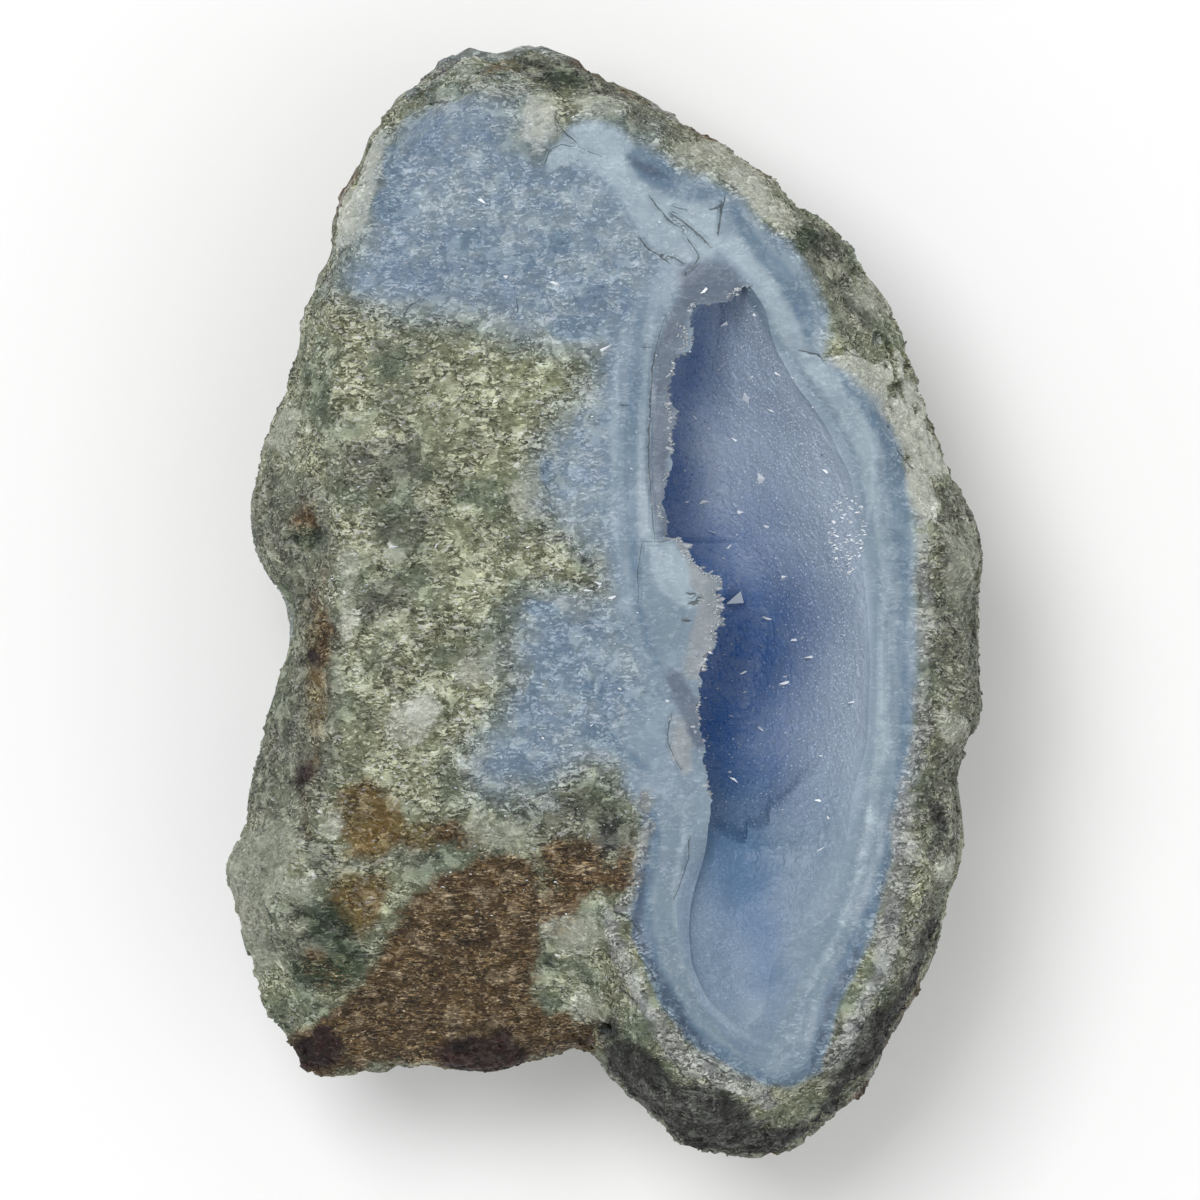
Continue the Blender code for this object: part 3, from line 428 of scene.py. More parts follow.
# Colour zones of the face, drawn in millimetres: a patch is a closed outline of x and y,
# a vein is a line of x, y and half width, an oval is x, y, two radii and a turn.
zones = {
    "dark": {
        "patch": [
            (-33.9, 12, -31.6, 13, -29.1, 12, -27.1, 10, -26.5, 4, -26.3, -4, -26.5, -10,
             -26.1, -16, -27.1, -20, -28.3, -23, -30.3, -22.6, -33.9, -22.2, -35.6, -20, -33.9, -14,
             -31.6, -7, -30.1, -2, -31.1, 1, -34.6, 4, -35.6, 8),
            (32.7, 11, 35.9, 11.5, 38.4, 7, 38.4, 1, 37.9, -4, 38.9, -10, 37.9, -14.5, 36.5, -20,
             36.7, -25, 35.4, -30, 33.4, -36, 30.4, -41.5, 28.4, -47, 24.9, -51.5, 19.9, -55.5,
             15.9, -57, 8.9, -56.5, 3.4, -51.5, -0.6, -47, -0.4, -44, 1.9, -45, 5.9, -48,
             9.9, -49.5, 15.9, -50.4, 21.9, -50, 24.9, -47, 27.9, -42, 30.4, -37, 32.4, -30,
             33.4, -24, 32.9, -16, 33.4, -10, 32.4, -4, 32.9, 2, 32.4, 7),
            (-8.1, 55.5, -4.1, 55.5, -1.6, 54.2, 0.4, 52.5, 4.4, 50.5, 9.4, 46.2, 7.1, 46,
             3.9, 47.2, -0.1, 50.4, -4.1, 50.8, -7.1, 51.5, -9.6, 53),
            (18.4, 37.2, 19.9, 39.2, 23.4, 38, 24.9, 35.6, 24.6, 32.5, 24.9, 29.6, 24.4, 27,
             23.7, 27, 22.9, 30, 21.1, 32, 19.9, 34.5, 18.7, 36),
        ],
        "oval": [
            (-21.1, -25.5, 4.2, 1.4), (0.7, -43, 1.2, 1.4), (24.4, -45, 3, 3.4, -40),
            (-27.9, -25.5, 1.4, 2.2, 20), (-12.3, -17.2, 2.2, 1.6), (29.4, -33.5, 3, 3.4),
            (2.4, -19.5, 1.6, 1), (-19.6, 25.5, 3, 0.7, 20), (-23.1, 13, 5, 2.6),
            (-19.1, 8, 3, 1.4), (-22.6, 0, 3, 2), (-13.1, -6, 2, 1.2), (-10.1, -10, 1.2, 2.6, 10),
            (-4.1, -22, 6, 2.4), (-30.1, -33, 2.4, 2.6), (0.4, -23.5, 3.4, 2.6),
            (34.4, -21.5, 2.4, 5.5),
        ],
    },
    "olive": {
        "patch": [
            (-17.6, 26.5, -12.1, 27.5, -8.1, 26, -5.1, 25.5, -1.6, 24.8, -1.1, 22.5, -2.6, 20,
             -4.6, 17.5, -6.1, 15.5, -7.6, 13.5, -9.1, 11, -10.1, 12.5, -13.1, 13, -17.1, 12,
             -18.6, 15, -18.6, 20, -18.1, 24),
        ],
        "oval": [
            (-21.6, -14.2, 4.8, 4.2), (-13.3, 4, 4, 5), (-7.6, 4, 4.4, 2.4), (-13.1, -9, 3, 2.4),
            (-23.1, -30.5, 4.4, 2.6, 20), (11.9, 43, 3.6, 1.8, -30),
        ],
    },
    "ochre": {
        "patch": [
            (-26.1, -18, -23.6, -17, -20.6, -19, -19.1, -22, -20.1, -25, -22.1, -26.2, -25.1, -25.5,
             -26.6, -22),
        ],
        "oval": [
            (-10.4, 53.3, 1.8, 0.9), (-24.2, -30, 3.4, 3.2, 30), (-18.6, -23.5, 3, 1.6),
            (14.9, 43.6, 1.8, 1, -40), (-28.6, -8, 1, 5),
        ],
    },
    "rust": {
        "patch": [
            (-25.4, -39, -20.8, -33.9, -16.8, -28.3, -10.6, -25.4, -8.1, -25, -5.6, -27, -5.3, -31,
             -6.6, -35, -7.1, -38.5, -5.3, -41, -1.1, -42.2, -0.3, -44.5, -6.1, -46, -10.1, -47.5,
             -16.1, -47.2, -20.1, -47, -30.1, -48.5, -31.1, -44.5, -27.6, -41.2),
        ],
        "vein": [
            (-28.7, -15.2, 0.12, -28.9, -18, 0.18, -29, -20, 0.18, -29.2, -22.8, 0.12),
        ],
        "oval": [
            (14.7, 44, 1.6, 0.9, -40), (-8.1, -30.5, 1.4, 2.5), (-2.6, -26.2, 3.6, 3),
            (-14.1, -23.5, 3, 1.4, -20), (-27.1, -36.5, 2.2, 1.8), (-29.6, 8, 0.9, 1.6),
            (-27.9, -3, 0.7, 4), (1.9, -27, 2, 2), (-4.1, -30.5, 2.4, 3),
        ],
    },
    "ember": {
        "oval": [
            (-28.6, -45.6, 2.6, 1.8), (-11.6, -45.6, 4.8, 2.2), (-9.5, -43.5, 1.1, 1.3),
            (-29, -5.7, 0.8, 0.8), (-29.5, -18, 0.8, 2), (-27.9, -43.6, 1, 0.9),
        ],
    },
    "moss": {
        "oval": [
            (-27.1, -32.5, 2.4, 2.8), (-25.6, -35.5, 2.2, 2.2), (-7.6, 54.4, 1.4, 0.7, -10),
            (-29.3, 6.2, 1.6, 1.2), (-27.9, -36.8, 3, 1.6), (20.4, 36.5, 2.2, 1.4, -30),
            (-4.1, 51.5, 2.6, 1.2, -10),
        ],
    },
    "quartz": {
        "patch": [
            (-20.5, 50.8, -18.8, 52.2, -17.3, 54, -15.1, 55.2, -13.3, 55.9, -11.9, 55, -12.3, 52.5,
             -11.1, 51.2, -13.1, 50.8, -16.1, 50.8, -18.6, 50.2),
            (-7.3, 50, -4.9, 50.4, -4.9, 49, -4.1, 48, -3.5, 46.2, -4.5, 45.4, -6.1, 45.4, -7.5, 46,
             -7.1, 48.2),
            (-21.9, -11.2, -20.1, -10, -16.5, -9.8, -16.1, -11.2, -16.5, -13.5, -19.1, -14.2,
             -20.9, -13.5),
            (-13.9, -6.8, -12.1, -5, -10.9, -3.6, -10.3, -5, -10.7, -7.2, -12.3, -8.8, -13.9, -8.4),
            (-9.3, 10.2, -7.9, 13, -6.3, 14.5, -4.9, 13, -5.6, 10, -5.3, 8, -6.6, 8.2, -8.3, 8.5),
            (9.9, 46.2, 12.4, 46.2, 13.9, 44.8, 16.1, 42.2, 17.9, 40.5, 19.4, 39, 19.9, 37.8,
             18.4, 37, 16.9, 37.8, 14.9, 39.5, 13.4, 41, 11.1, 42, 9.9, 42.8, 7.9, 43.5, 7.1, 45,
             7.9, 45.8),
        ],
        "oval": [
            (-25.3, 3.5, 0.9, 2.5), (-25.5, -2.2, 1, 1.9), (-1.6, -41.2, 1.6, 0.9),
            (-17.1, 37.2, 0.9, 1.1), (-0.4, 49.4, 2.4, 1.1), (-31.6, 16.5, 1.6, 3, -20),
            (-26.6, -21.5, 1.2, 1.4), (-30.1, -28.5, 1.6, 1.2), (-20.6, 5.2, 1.2, 1.6, -30),
            (-8.6, 30, 1.2, 1), (-8.9, 28, 1.6, 1), (-5.6, -14, 2.4, 2.6), (-0.1, -15.5, 2.4, 1),
            (-4.1, -1.5, 3, 1.2, 10), (34.9, -13.5, 1.8, 2, 30), (34.7, -27, 1.2, 1.4),
            (-2.1, -33, 3.4, 2), (26.2, 30.2, 2.2, 2.2),
        ],
    },
    "blue": {
        "patch": [
            (-20.3, 50.4, -17.1, 51, -13.1, 51.2, -9.6, 50.4, -8.1, 49.6, -7.5, 46, -5.6, 44.8,
             -4.1, 45.8, -1.1, 47.2, 1.9, 47, 4.9, 45, 7.9, 42, 11.9, 40, 9.9, 35, 7.1, 30, 5.4, 25,
             4.4, 18, 3.9, 12, 3.9, 4, 3.9, -1, 6.7, -5, 8.9, -7.2, 9.9, -10, 10.3, -16, 8.9, -19,
             5.4, -20, 3.1, -17.5, -0.1, -16.5, -3.1, -17.5, -5.6, -18.8, -10.1, -19.2,
             -12.3, -18.2, -13.1, -16, -12.5, -14.2, -10.6, -12.8, -9.6, -10, -8.1, -8, -9.6, -5.5,
             -8.9, -3, -7.6, -0.6, -5.6, 0.2, -1.6, -0.2, 1.1, 1, -0.1, 4, -1.6, 6, -4.1, 8,
             -5.6, 10, -5.6, 13, -4.9, 16, -3.1, 18.5, -1.6, 20.5, -0.9, 23, -1.1, 25, -4.1, 26.2,
             -8.1, 26.8, -12.1, 27.8, -16.1, 28.2, -20.1, 28.8, -23.6, 29.5, -25.6, 31, -25.1, 33.8,
             -23.9, 36, -23.1, 38.5, -22.7, 41.2, -21.5, 44, -20.9, 47),
        ],
    },
    "agate": {
        "patch": [
            (-2.5, 47.3, -0.1, 47.8, 2.1, 46.8, 2.9, 45.4, 4.7, 45.1, 6.6, 43.8, 7.4, 42.7,
             10.4, 42.2, 12.5, 40.9, 14.7, 39.8, 15.7, 37.9, 18.1, 36, 20, 34.4, 21.6, 31.8,
             22.7, 28.5, 22.3, 24.3, 24.8, 22.6, 27.5, 20.5, 28.1, 18.7, 29.4, 16, 30.2, 12.5,
             31.3, 8.5, 31.6, 5, 31.3, 1.2, 31.9, -2.8, 31.8, -6.8, 31.3, -12.1, 31.5, -17.5,
             30.7, -18.7, 29.9, -22.7, 29.1, -26.7, 27.8, -29.4, 27, -33.4, 24.8, -37.4,
             23.8, -40.1, 23, -43.1, 21.6, -47.1, 18.7, -48.2, 15.5, -48.2, 13, -46.8, 10.1, -44.9,
             7.4, -41.5, 5.5, -38.8, 3.9, -34.2, 2.6, -31, 3.7, -27.5, 4.3, -24.3, 3.7, -20.4,
             2.4, -18.6, 2.1, -14.5, 2.9, -11.5, 4.9, -9, 3.5, -5, 1.7, -1, 1.1, 4, 0.9, 12,
             0.7, 18, 1.1, 24, 2.3, 28, 4.3, 31, 5.4, 33.8, 3.9, 36, 1.7, 38.8, -0.5, 41.8,
             -2.9, 44, -3.5, 46),
        ],
    },
    "steel": {
        "vein": [
            (8.9, 40.4, 0.4, 10.4, 40.4, 0.5, 12.1, 40.5, 0.3),
            (13.2, 38.8, 0.5, 14.4, 36.5, 0.7, 16.1, 34.3, 0.8, 18.1, 32.2, 1, 19.6, 30.3, 1,
             20.5, 28.2, 0.9, 20.7, 25.7, 0.3),
            (23.4, 22.8, 0.3, 24.9, 20.5, 0.5, 26.7, 18.8, 0.7, 28.3, 17, 0.7, 29.2, 14.5, 0.7,
             29.4, 12, 0.8, 29.5, 9.5, 0.9, 29.6, 7, 0.9, 30.1, 4, 0.6, 30.4, 1, 0.5, 29.9, -4, 0.5,
             30.3, -9, 0.5, 30.2, -14, 0.6, 29.9, -19, 0.6, 29.2, -23, 0.6, 28.3, -26.5, 0.5,
             27.2, -30, 0.7, 25.9, -33.5, 0.9, 24.8, -36, 1, 23.4, -38.5, 1, 22.5, -41, 0.9,
             21.9, -44, 0.8, 21.4, -46.4, 0.7, 18.9, -47.7, 0.6, 16.1, -47.6, 0.5, 13.4, -46.2, 0.7,
             11.1, -44.6, 0.9, 8.9, -43, 0.9, 7.3, -40.8, 0.9, 6.1, -38.5, 0.9, 5.1, -36, 0.9,
             4.2, -33, 0.9, 4.1, -30, 0.9, 4.4, -27, 0.9, 5.1, -24, 0.9, 5.1, -21.5, 0.6),
            (4.4, 30, 0.4, 3.7, 27, 0.5, 3.3, 22, 0.6, 3.1, 17, 0.65, 3, 12, 0.6, 3.1, 7, 0.5,
             3.3, 4, 0.4, 3.7, 0, 0.4, 4.7, -4, 0.4, 5.9, -6.5, 0.3),
            (-0.3, -14.2, 0.3, 1.4, -14.8, 0.45, 3.1, -15.7, 0.45, 4.7, -17.2, 0.3),
            (-5.9, -5.5, 0.3, -6.7, -9, 0.7, -7.5, -11.5, 0.6, -8.3, -13.5, 0.3),
        ],
        "oval": [
            (5.2, 42.8, 3, 1.4, -32), (-20.4, 39.2, 2.4, 1.8), (-13.3, 35.7, 2, 1.1),
            (-2.6, 27.2, 2.4, 1.2), (-8.1, 33.8, 2.2, 1, 10), (-4.1, -6.5, 1.8, 2.4),
            (-1.1, -9, 2, 1.1), (-0.1, -13.5, 1.6, 1), (-5.3, 13, 0.8, 1.4), (-20.6, 43.5, 1, 2.2),
            (-6.1, -1, 2, 0.8, -10), (-4.6, 35.5, 1.8, 1),
        ],
    },
    "pale": {
        "patch": [
            (-2.9, 47.2, -0.1, 47.6, 2.1, 46.8, 3.1, 45.4, 2.3, 44.2, 3.9, 42, 6.1, 40.4, 8.9, 39.5,
             11.5, 39, 12.1, 36, 11.1, 34.2, 9.3, 33.8, 6.7, 33.8, 4.9, 35.5, 3.5, 37.8, 1.7, 40.5,
             -0.3, 42.4, -2.1, 43.6, -4.1, 43.4, -5.3, 42.5, -5.6, 44, -4.5, 45.4),
            (12.1, 36.5, 13.4, 36.5, 14.7, 34.8, 16.4, 32.8, 18.4, 30, 19.9, 27.5, 20.5, 25,
             22.1, 23.8, 24.9, 20.2, 26.7, 17.5, 27.9, 14.5, 26.1, 13, 24.9, 16, 23.1, 19.2,
             20.9, 22.2, 18.9, 24.5, 17.4, 27, 15.9, 30, 14.4, 32.2, 12.7, 33.8, 11.5, 35),
            (4.4, 5.7, 6.7, 5.9, 8.9, 4, 9.9, 2.5, 10.9, 0.6, 10.6, -0.8, 9, -1.2, 7.4, -0.4,
             6, 0.8, 5, 2.8),
        ],
        "vein": [
            (26.5, 15, 0.9, 27, 12, 0.7, 27.3, 9, 0.4, 27.6, 6, 0.35, 28.4, 2, 0.4, 28.2, -2, 0.2,
             28.1, -6, 0.35, 28.1, -10, 0.6, 27.9, -14, 0.6, 27.5, -18, 0.6, 27, -22, 0.5,
             26.2, -26, 0.3, 25, -30, 0.3, 23.6, -33.5, 0.3, 22.1, -36, 0.3, 20.8, -38.5, 0.2),
            (6.1, 31, 0, 5.1, 28, 0.1, 4.6, 24, 0.1, 4.3, 20, 0.15, 4.1, 15, 0.2, 4.2, 10, 0.3,
             4.6, 6.5, 0.5),
            (2.1, 27, 0.1, 1.5, 22, 0.2, 1.3, 16, 0.2, 1.4, 10, 0.1, 1.6, 6, 0),
            (8.5, -20.5, 0.1, 8.2, -24, 0.2, 7.4, -28, 0.2, 7.5, -32, 0.3, 8.1, -35, 0.3,
             9.3, -38.5, 0.3, 11.6, -41.4, 0.3, 14.4, -43.4, 0.2, 17.4, -44.5, 0.2,
             19.4, -43.5, 0.2, 20.2, -41, 0.2),
        ],
    },
    "chalk": {
        "patch": [
            (-23.5, 48, -20.9, 49.5, -19.9, 50.2, -20.5, 47.5, -21.3, 45, -22.1, 42.5, -22.9, 40,
             -23.7, 37, -24.5, 35.5, -26.7, 34.8, -27.5, 36, -27.3, 39, -26.3, 40.8, -24.5, 42.2,
             -24.3, 45, -23.9, 46.5),
            (22.5, 24.4, 23.9, 24.8, 25.4, 25.5, 27.1, 26.2, 27.9, 27.8, 29.5, 28, 30.1, 25.5,
             31.1, 24.5, 31.3, 22, 32.3, 20, 33.1, 17.5, 33.9, 15, 34.7, 13, 32.9, 12.2, 30.4, 13.8,
             29.1, 16, 27.9, 18.5, 26.1, 20, 24.4, 21.5, 23.1, 22.8),
        ],
        "oval": [
            (15.4, 40.6, 2.8, 1.2, -42), (-5.8, 47.4, 1.9, 2.8), (-17.6, -10.8, 1.6, 1.2),
            (31.2, 10.5, 1.6, 3.4, 15),
        ],
    },
    "boss": {
        "patch": [
            (-38.5, -26.5, -37.3, -23.8, -35.9, -23.2, -33.9, -22.6, -31.1, -22.2, -30.1, -23,
             -30.3, -25, -31.1, -27, -30.1, -29, -32.6, -29.5, -32.9, -33, -32.6, -35, -31.6, -36.5,
             -33.3, -37.5, -34.3, -39.5, -35.3, -36.5, -36.5, -33.5, -37.5, -30.5, -38.3, -28.5),
            (-13.9, -23, -12.1, -21.5, -9.6, -21.2, -8.1, -22.5, -8.3, -24.2, -10.1, -25,
             -12.6, -24.6),
        ],
        "oval": [
            (35.6, 4, 1.6, 4.5),
        ],
    },
    "shade": {
        "patch": [
            (-0.5, -44.5, 1.4, -43, 3.9, -43.6, 6.4, -45.6, 8.4, -47.6, 10.9, -49.2, 14.4, -50.6,
             17.9, -50.8, 20.9, -50, 23.4, -48, 25.4, -45.4, 27.4, -42.6, 29.4, -39.5, 31.4, -36,
             33.4, -32, 36.5, -33, 33.5, -40, 30.5, -45, 28, -49, 24, -53, 20, -57, 14, -58, 9, -58,
             5, -54, 0, -49),
        ],
        "oval": [
            (0.5, -43, 1.6, 0.8), (33.9, -22, 1, 1.8), (0.9, -23, 1.5, 1.2), (9.9, -51.2, 4, 3),
            (27.5, -44.2, 3, 4, -30),
        ],
    },
    "inky": {
        "vein": [
            (10.6, -44.6, 0.3, 8.6, -42.4, 0.5, 7, -40.2, 0.5, 5.7, -38, 0.45, 4.6, -35.5, 0.3,
             3.6, -33, 0.45, 3.7, -30, 0.35, 3.9, -28, 0.4, 4.4, -25, 0.4, 4.6, -23, 0.5,
             4.4, -21, 0.2),
            (21.4, -46.2, 0.2, 22.2, -43, 0.3, 23, -40.6, 0.4, 24, -38, 0.4, 25.4, -35.4, 0.2),
        ],
        "oval": [
            (10.8, 29.6, 1.2, 1.4), (4.6, 43.2, 2.2, 0.6, -32),
        ],
    },
    "clear": {
        "patch": [
            (8, 33.6, 9.9, 34.4, 11.4, 34, 13.4, 32.8, 13.9, 31.6, 13.9, 30.4, 11.9, 29.2,
             8.4, 29.2, 7.6, 31),
        ],
        "vein": [
            (10, 32.2, 1, 8.2, 29.5, 1, 7.3, 26, 1, 6.2, 22, 1.1, 6.2, 17, 1.2, 5.9, 12, 0.9,
             5.9, 6.6, 0.8),
            (7.7, -7.6, 0.9, 8.4, -10, 1.2, 8.7, -12, 1.1, 9.6, -14, 0.6),
        ],
    },
    "beige": {
        "vein": [
            (7.4, 5.2, 0.5, 8.6, 3.8, 0.6, 9.9, 2, 0.9, 10.9, 0, 1.2, 10.9, -2, 1.2,
             10.2, -4.4, 1.1, 9.4, -6.6, 0.8),
        ],
        "oval": [
            (7.9, -14.6, 1.1, 3.1, 12),
        ],
    },
    "ridge": {
        "vein": [
            (0.9, -30.5, 0.4, 1.6, -33, 0.8, 2.2, -36, 0.8, 2.9, -38.5, 0.9, 4, -40.7, 0.9,
             5.9, -42.4, 0.9, 8, -44.4, 1, 10.5, -46.4, 1, 13.5, -48.4, 0.9, 16.5, -49.6, 0.6),
            (31.4, 8, 0.4, 31.7, 4, 0.5, 32.1, 0, 0.6, 32.4, -4, 0.6, 32.1, -10, 0.6,
             31.5, -16, 0.6, 30.9, -20, 0.8, 30.4, -24, 1.2, 29.4, -29, 1.2, 28.7, -33, 1.2,
             28.1, -36.5, 1, 26.5, -39.5, 0.8, 25.1, -43, 0.9, 23.5, -46, 0.8),
            (4.9, -20, 0.3, 4.3, -24, 0.4, 3.5, -28, 0.5, 2.1, -30.5, 0.5),
        ],
    },
}

# thin cracks: half width in millimetres and the line
cracks = (
    (0.05, [(6.3, 28.2), (5.7, 26), (5.4, 24.8)]),
    (0.09, [(5.4, 24.8), (5.1, 23), (5, 20.7), (4.8, 17), (4.7, 13.6), (4.9, 11.8)]),
    (0.04, [(4.9, 11.8), (5.1, 9.2), (5.3, 6)]),
    (0.1, [(5, 40), (5.7, 39), (6.4, 38.2), (7.4, 37.3), (8.3, 36.8)]),
    (0.1, [(7.1, 38.4), (8.3, 37.6), (9.3, 36.8), (10.2, 36), (10.8, 35.2)]),
    (0.12, [(8.3, 36.4), (9.1, 35.2), (9.8, 34.2), (9.3, 33.4), (8.5, 32.6)]),
    (0.08, [(6.1, 34.4), (7.3, 34.1), (8.1, 33.6)]),
    (0.12, [(12.3, 40), (12, 38.8), (11.7, 36.6)]),
    (0.1, [(11, 38.9), (11.7, 39.2), (12.2, 39.6)]),
    (0.08, [(11.9, 41.9), (13.3, 41)]),
    (0.11, [(20, 24.8), (21.7, 24.4), (22.1, 23.7)]),
    (0.08, [(3.9, 36), (4.7, 35), (5.7, 34.4), (6.7, 33.6)]),
    (0.06, [(7.2, 39.2), (8.3, 38.9)]),
    (0.07, [(7, -11.6), (6.7, -12.8), (6.7, -14.2), (7.3, -15.8), (7.9, -16.8)]),
    (0.05, [(8.8, -23.9), (8.7, -25.9), (8.1, -27.6), (7.4, -29.6)]),
    (0.06, [(4, 5.8), (5.4, 5.7), (6.7, 5.9)]),
    (0.1, [(1.5, -31.1), (2.7, -31.7), (3.9, -33)]),
    (0.1, [(3.9, -35.7), (4.8, -36.8), (5.4, -37.8)]),
    (0.1, [(1.7, -38.4), (2.7, -39.3), (3.5, -40.1)]),
    (0.09, [(6.7, -45), (7.7, -46.6), (8.5, -47.8)]),
    (0.08, [(8.9, -47.6), (9.9, -48.8)]),
    (0.09, [(-19.7, 28.2), (-19.1, 29.2), (-18.2, 29.8)]),
    (0.08, [(-20.9, 24.2), (-19.6, 23.8), (-18.1, 24.2), (-17.1, 24.8)]),
    (0.07, [(-8.7, 28), (-8.2, 29), (-8.4, 29.7)]),
    (0.1, [(24.3, 25), (25.1, 24.4), (25.9, 24.2), (26.7, 25)]),
    (0.08, [(29.7, 14.8), (30.3, 13.8), (31.1, 13.2)]),
    (0.1, [(32.5, 17.2), (32.9, 16.4), (33.3, 15.6)]),
    (0.12, [(28.4, -42), (29.2, -41.2), (29.9, -40.5)]),
    (0.1, [(9.9, -45.5), (11.1, -46.2), (12.3, -47)]),
    (0.07, [(-4.5, 48), (-3.9, 46.8), (-2.6, 45.8), (-2.1, 44.8)]),
    (0.05, [(-5.6, 43.5), (-5.1, 44.8), (-3.9, 45.4), (-2.1, 45), (-0.1, 44.2)]),
    (0.06, [(4, 5.5), (3.6, 2.5), (3.7, 0)]),
    (0.07, [(-0.1, -43), (1.1, -44), (1.7, -45.2)]),
    (0.08, [(-30.1, -22.8), (-29.1, -22.2), (-28.3, -22.8)]),
    (0.08, [(-33.5, -30.5), (-32.9, -32), (-32.9, -34), (-32.5, -35)]),
    (0.1, [(-33.3, -36.8), (-32.5, -37.2), (-32.7, -38.2)]),
    (0.08, [(-4.1, -40), (-2.6, -40.8), (-1.1, -43)]),
    (0.06, [(29.6, -44), (28.7, -45), (27.9, -46.2)]),
    (0.08, [(23.9, -51), (24.9, -49.5), (26.1, -48.5)]),
    (0.06, [(30.4, 20), (31.4, 20.2), (32.1, 19.6)]),
    (0.07, [(28.3, 19.5), (28.9, 18.5), (28.7, 17.6)]),
    (0.06, [(-25.5, 35), (-26.5, 33.8), (-27.1, 32.5)]),
)

# small pits: x, y, radius, depth; each also gets a dark mark in the crack colour, a painted shade
# in the hole
pits = (
    (9.2, -0.3, 0.4, 1.4), (9.8, 0.2, 0.3, 1.2), (8.5, -2, 0.25, 0.9), (8.9, 0.6, 0.25, 0.8),
    (-32.8, -37.7, 0.4, 1.3), (0.5, -43, 0.9, 1.3), (-24.1, 41.4, 0.2, 0.5), (2.3, 19.4, 0.2, 0.6),
    (-12.3, 19.5, 0.2, 0.6), (30.9, 19.2, 0.3, 0.8), (31.7, 18, 0.2, 0.8), (29.9, 17, 0.25, 0.8),
    (28.8, -44, 0.6, 1.4), (-30.1, -22.8, 0.3, 0.7), (4.5, 25.2, 0.16, 0.5),
)

# what the sides and the back have instead: offset, swing and wavelength of each zone's field
wildZones = {
    "dark": (0.6, 3.2, 9.0), "olive": (-0.2, 3.0, 12.0), "quartz": (-1.7, 3.2, 10.0),
    "blue": (-2.1, 3.2, 15.0), "rust": (-0.9, 3.0, 8.0), "moss": (-1.2, 2.6, 6.0),
    "ember": (-2.4, 3.0, 5.0), "ridge": (-1.8, 2.8, 7.0),
}
farOutside, farInside = -6.0, 6.0


def patchField(x, y, line):
    line = [tuple(point) for point in line]
    closed = line + line[:1]
    inside = np.zeros(len(x), dtype=bool)
    for (ax, ay), (bx, by) in zip(closed[:-1], closed[1:]):
        if ay != by:
            crosses = ((ay > y) != (by > y)) & (x < (bx - ax) * (y - ay) / (by - ay) + ax)
            inside ^= crosses
    away = lineDistance(x, y, closed)
    return np.where(inside, away, -away)


def veinField(x, y, line):
    points = np.stack([x, y], axis=-1)
    best = np.full(len(x), farOutside)
    for start, end in zip(line[:-1], line[1:]):
        place = np.array(start[:2])
        run = np.array(end[:2]) - place
        share = nearestShare(points, place, run)
        away = np.linalg.norm(points - place - share[:, None] * run, axis=1)
        best = np.maximum(best, start[2] + (end[2] - start[2]) * share - away)
    return best


# how far out a place is in a turned oval, squared: 1 on its edge
def ovalSquare(x, y, atX, atY, radiusX, radiusY, turn=0.0):
    angle = math.radians(turn)
    along = ((x - atX) * math.cos(angle) + (y - atY) * math.sin(angle)) / radiusX
    across = ((y - atY) * math.cos(angle) - (x - atX) * math.sin(angle)) / radiusY
    return along**2 + across**2


def ovalField(x, y, oval):
    return (1.0 - np.sqrt(ovalSquare(x, y, *oval))) * min(oval[2:4])


# how far inside one shape each place is, in millimetres; kept to a few millimetres each way
def shapeField(x, y, kind, values):
    if kind == "oval":
        spots, reach = np.array([values[:2]]), farInside + max(values[2:4])
    else:
        values = np.reshape(values, (-1, 2 if kind == "patch" else 3))
        spots, reach = values[:, :2], farInside
    low = spots.min(axis=0) - reach
    high = spots.max(axis=0) + reach
    near = (x > low[0]) & (x < high[0]) & (y > low[1]) & (y < high[1])
    field = np.full(len(x), farOutside)
    if near.any():
        if kind == "patch":
            field[near] = patchField(x[near], y[near], values)
        elif kind == "vein":
            field[near] = veinField(x[near], y[near], values)
        else:
            field[near] = ovalField(x[near], y[near], values)
    return np.clip(field, farOutside, farInside)


# every zone's field at points of the stone; below is how deep under the face a point is
def zoneFields(points, below, sides=True):
    flat = points * (1.0, 1.0, 0.0)
    sway = np.stack([waves(flat, 6.5, 31) * 0.7 + waves(flat, 1.9, 33) * 0.3,
                     waves(flat, 6.5, 32) * 0.7 + waves(flat, 1.9, 34) * 0.3], axis=1)
    fields = {}
    for name, shapes in zones.items():
        steady = 0.25 if name in ("steel", "pale", "agate") else 1.0
        x = points[:, 0] + sway[:, 0] * steady
        y = points[:, 1] + sway[:, 1] * steady
        fields[name] = np.max([shapeField(x, y, kind, values) for kind,
                               rows in shapes.items() for values in rows], axis=0)
    if sides:
        side = smoothStep(2.5, 9.0, below + waves(points, 7.0, 41) * 3.0)
        for salt, name in enumerate(fields):
            offset, swing, wavelength = wildZones.get(name, (farOutside, 0.0, 10.0))
            wild = offset + swing * waves(points, wavelength, 50 + salt)
            fields[name] = fields[name] * (1.0 - side) + wild * side
    return fields


farFromCracks = 9.0


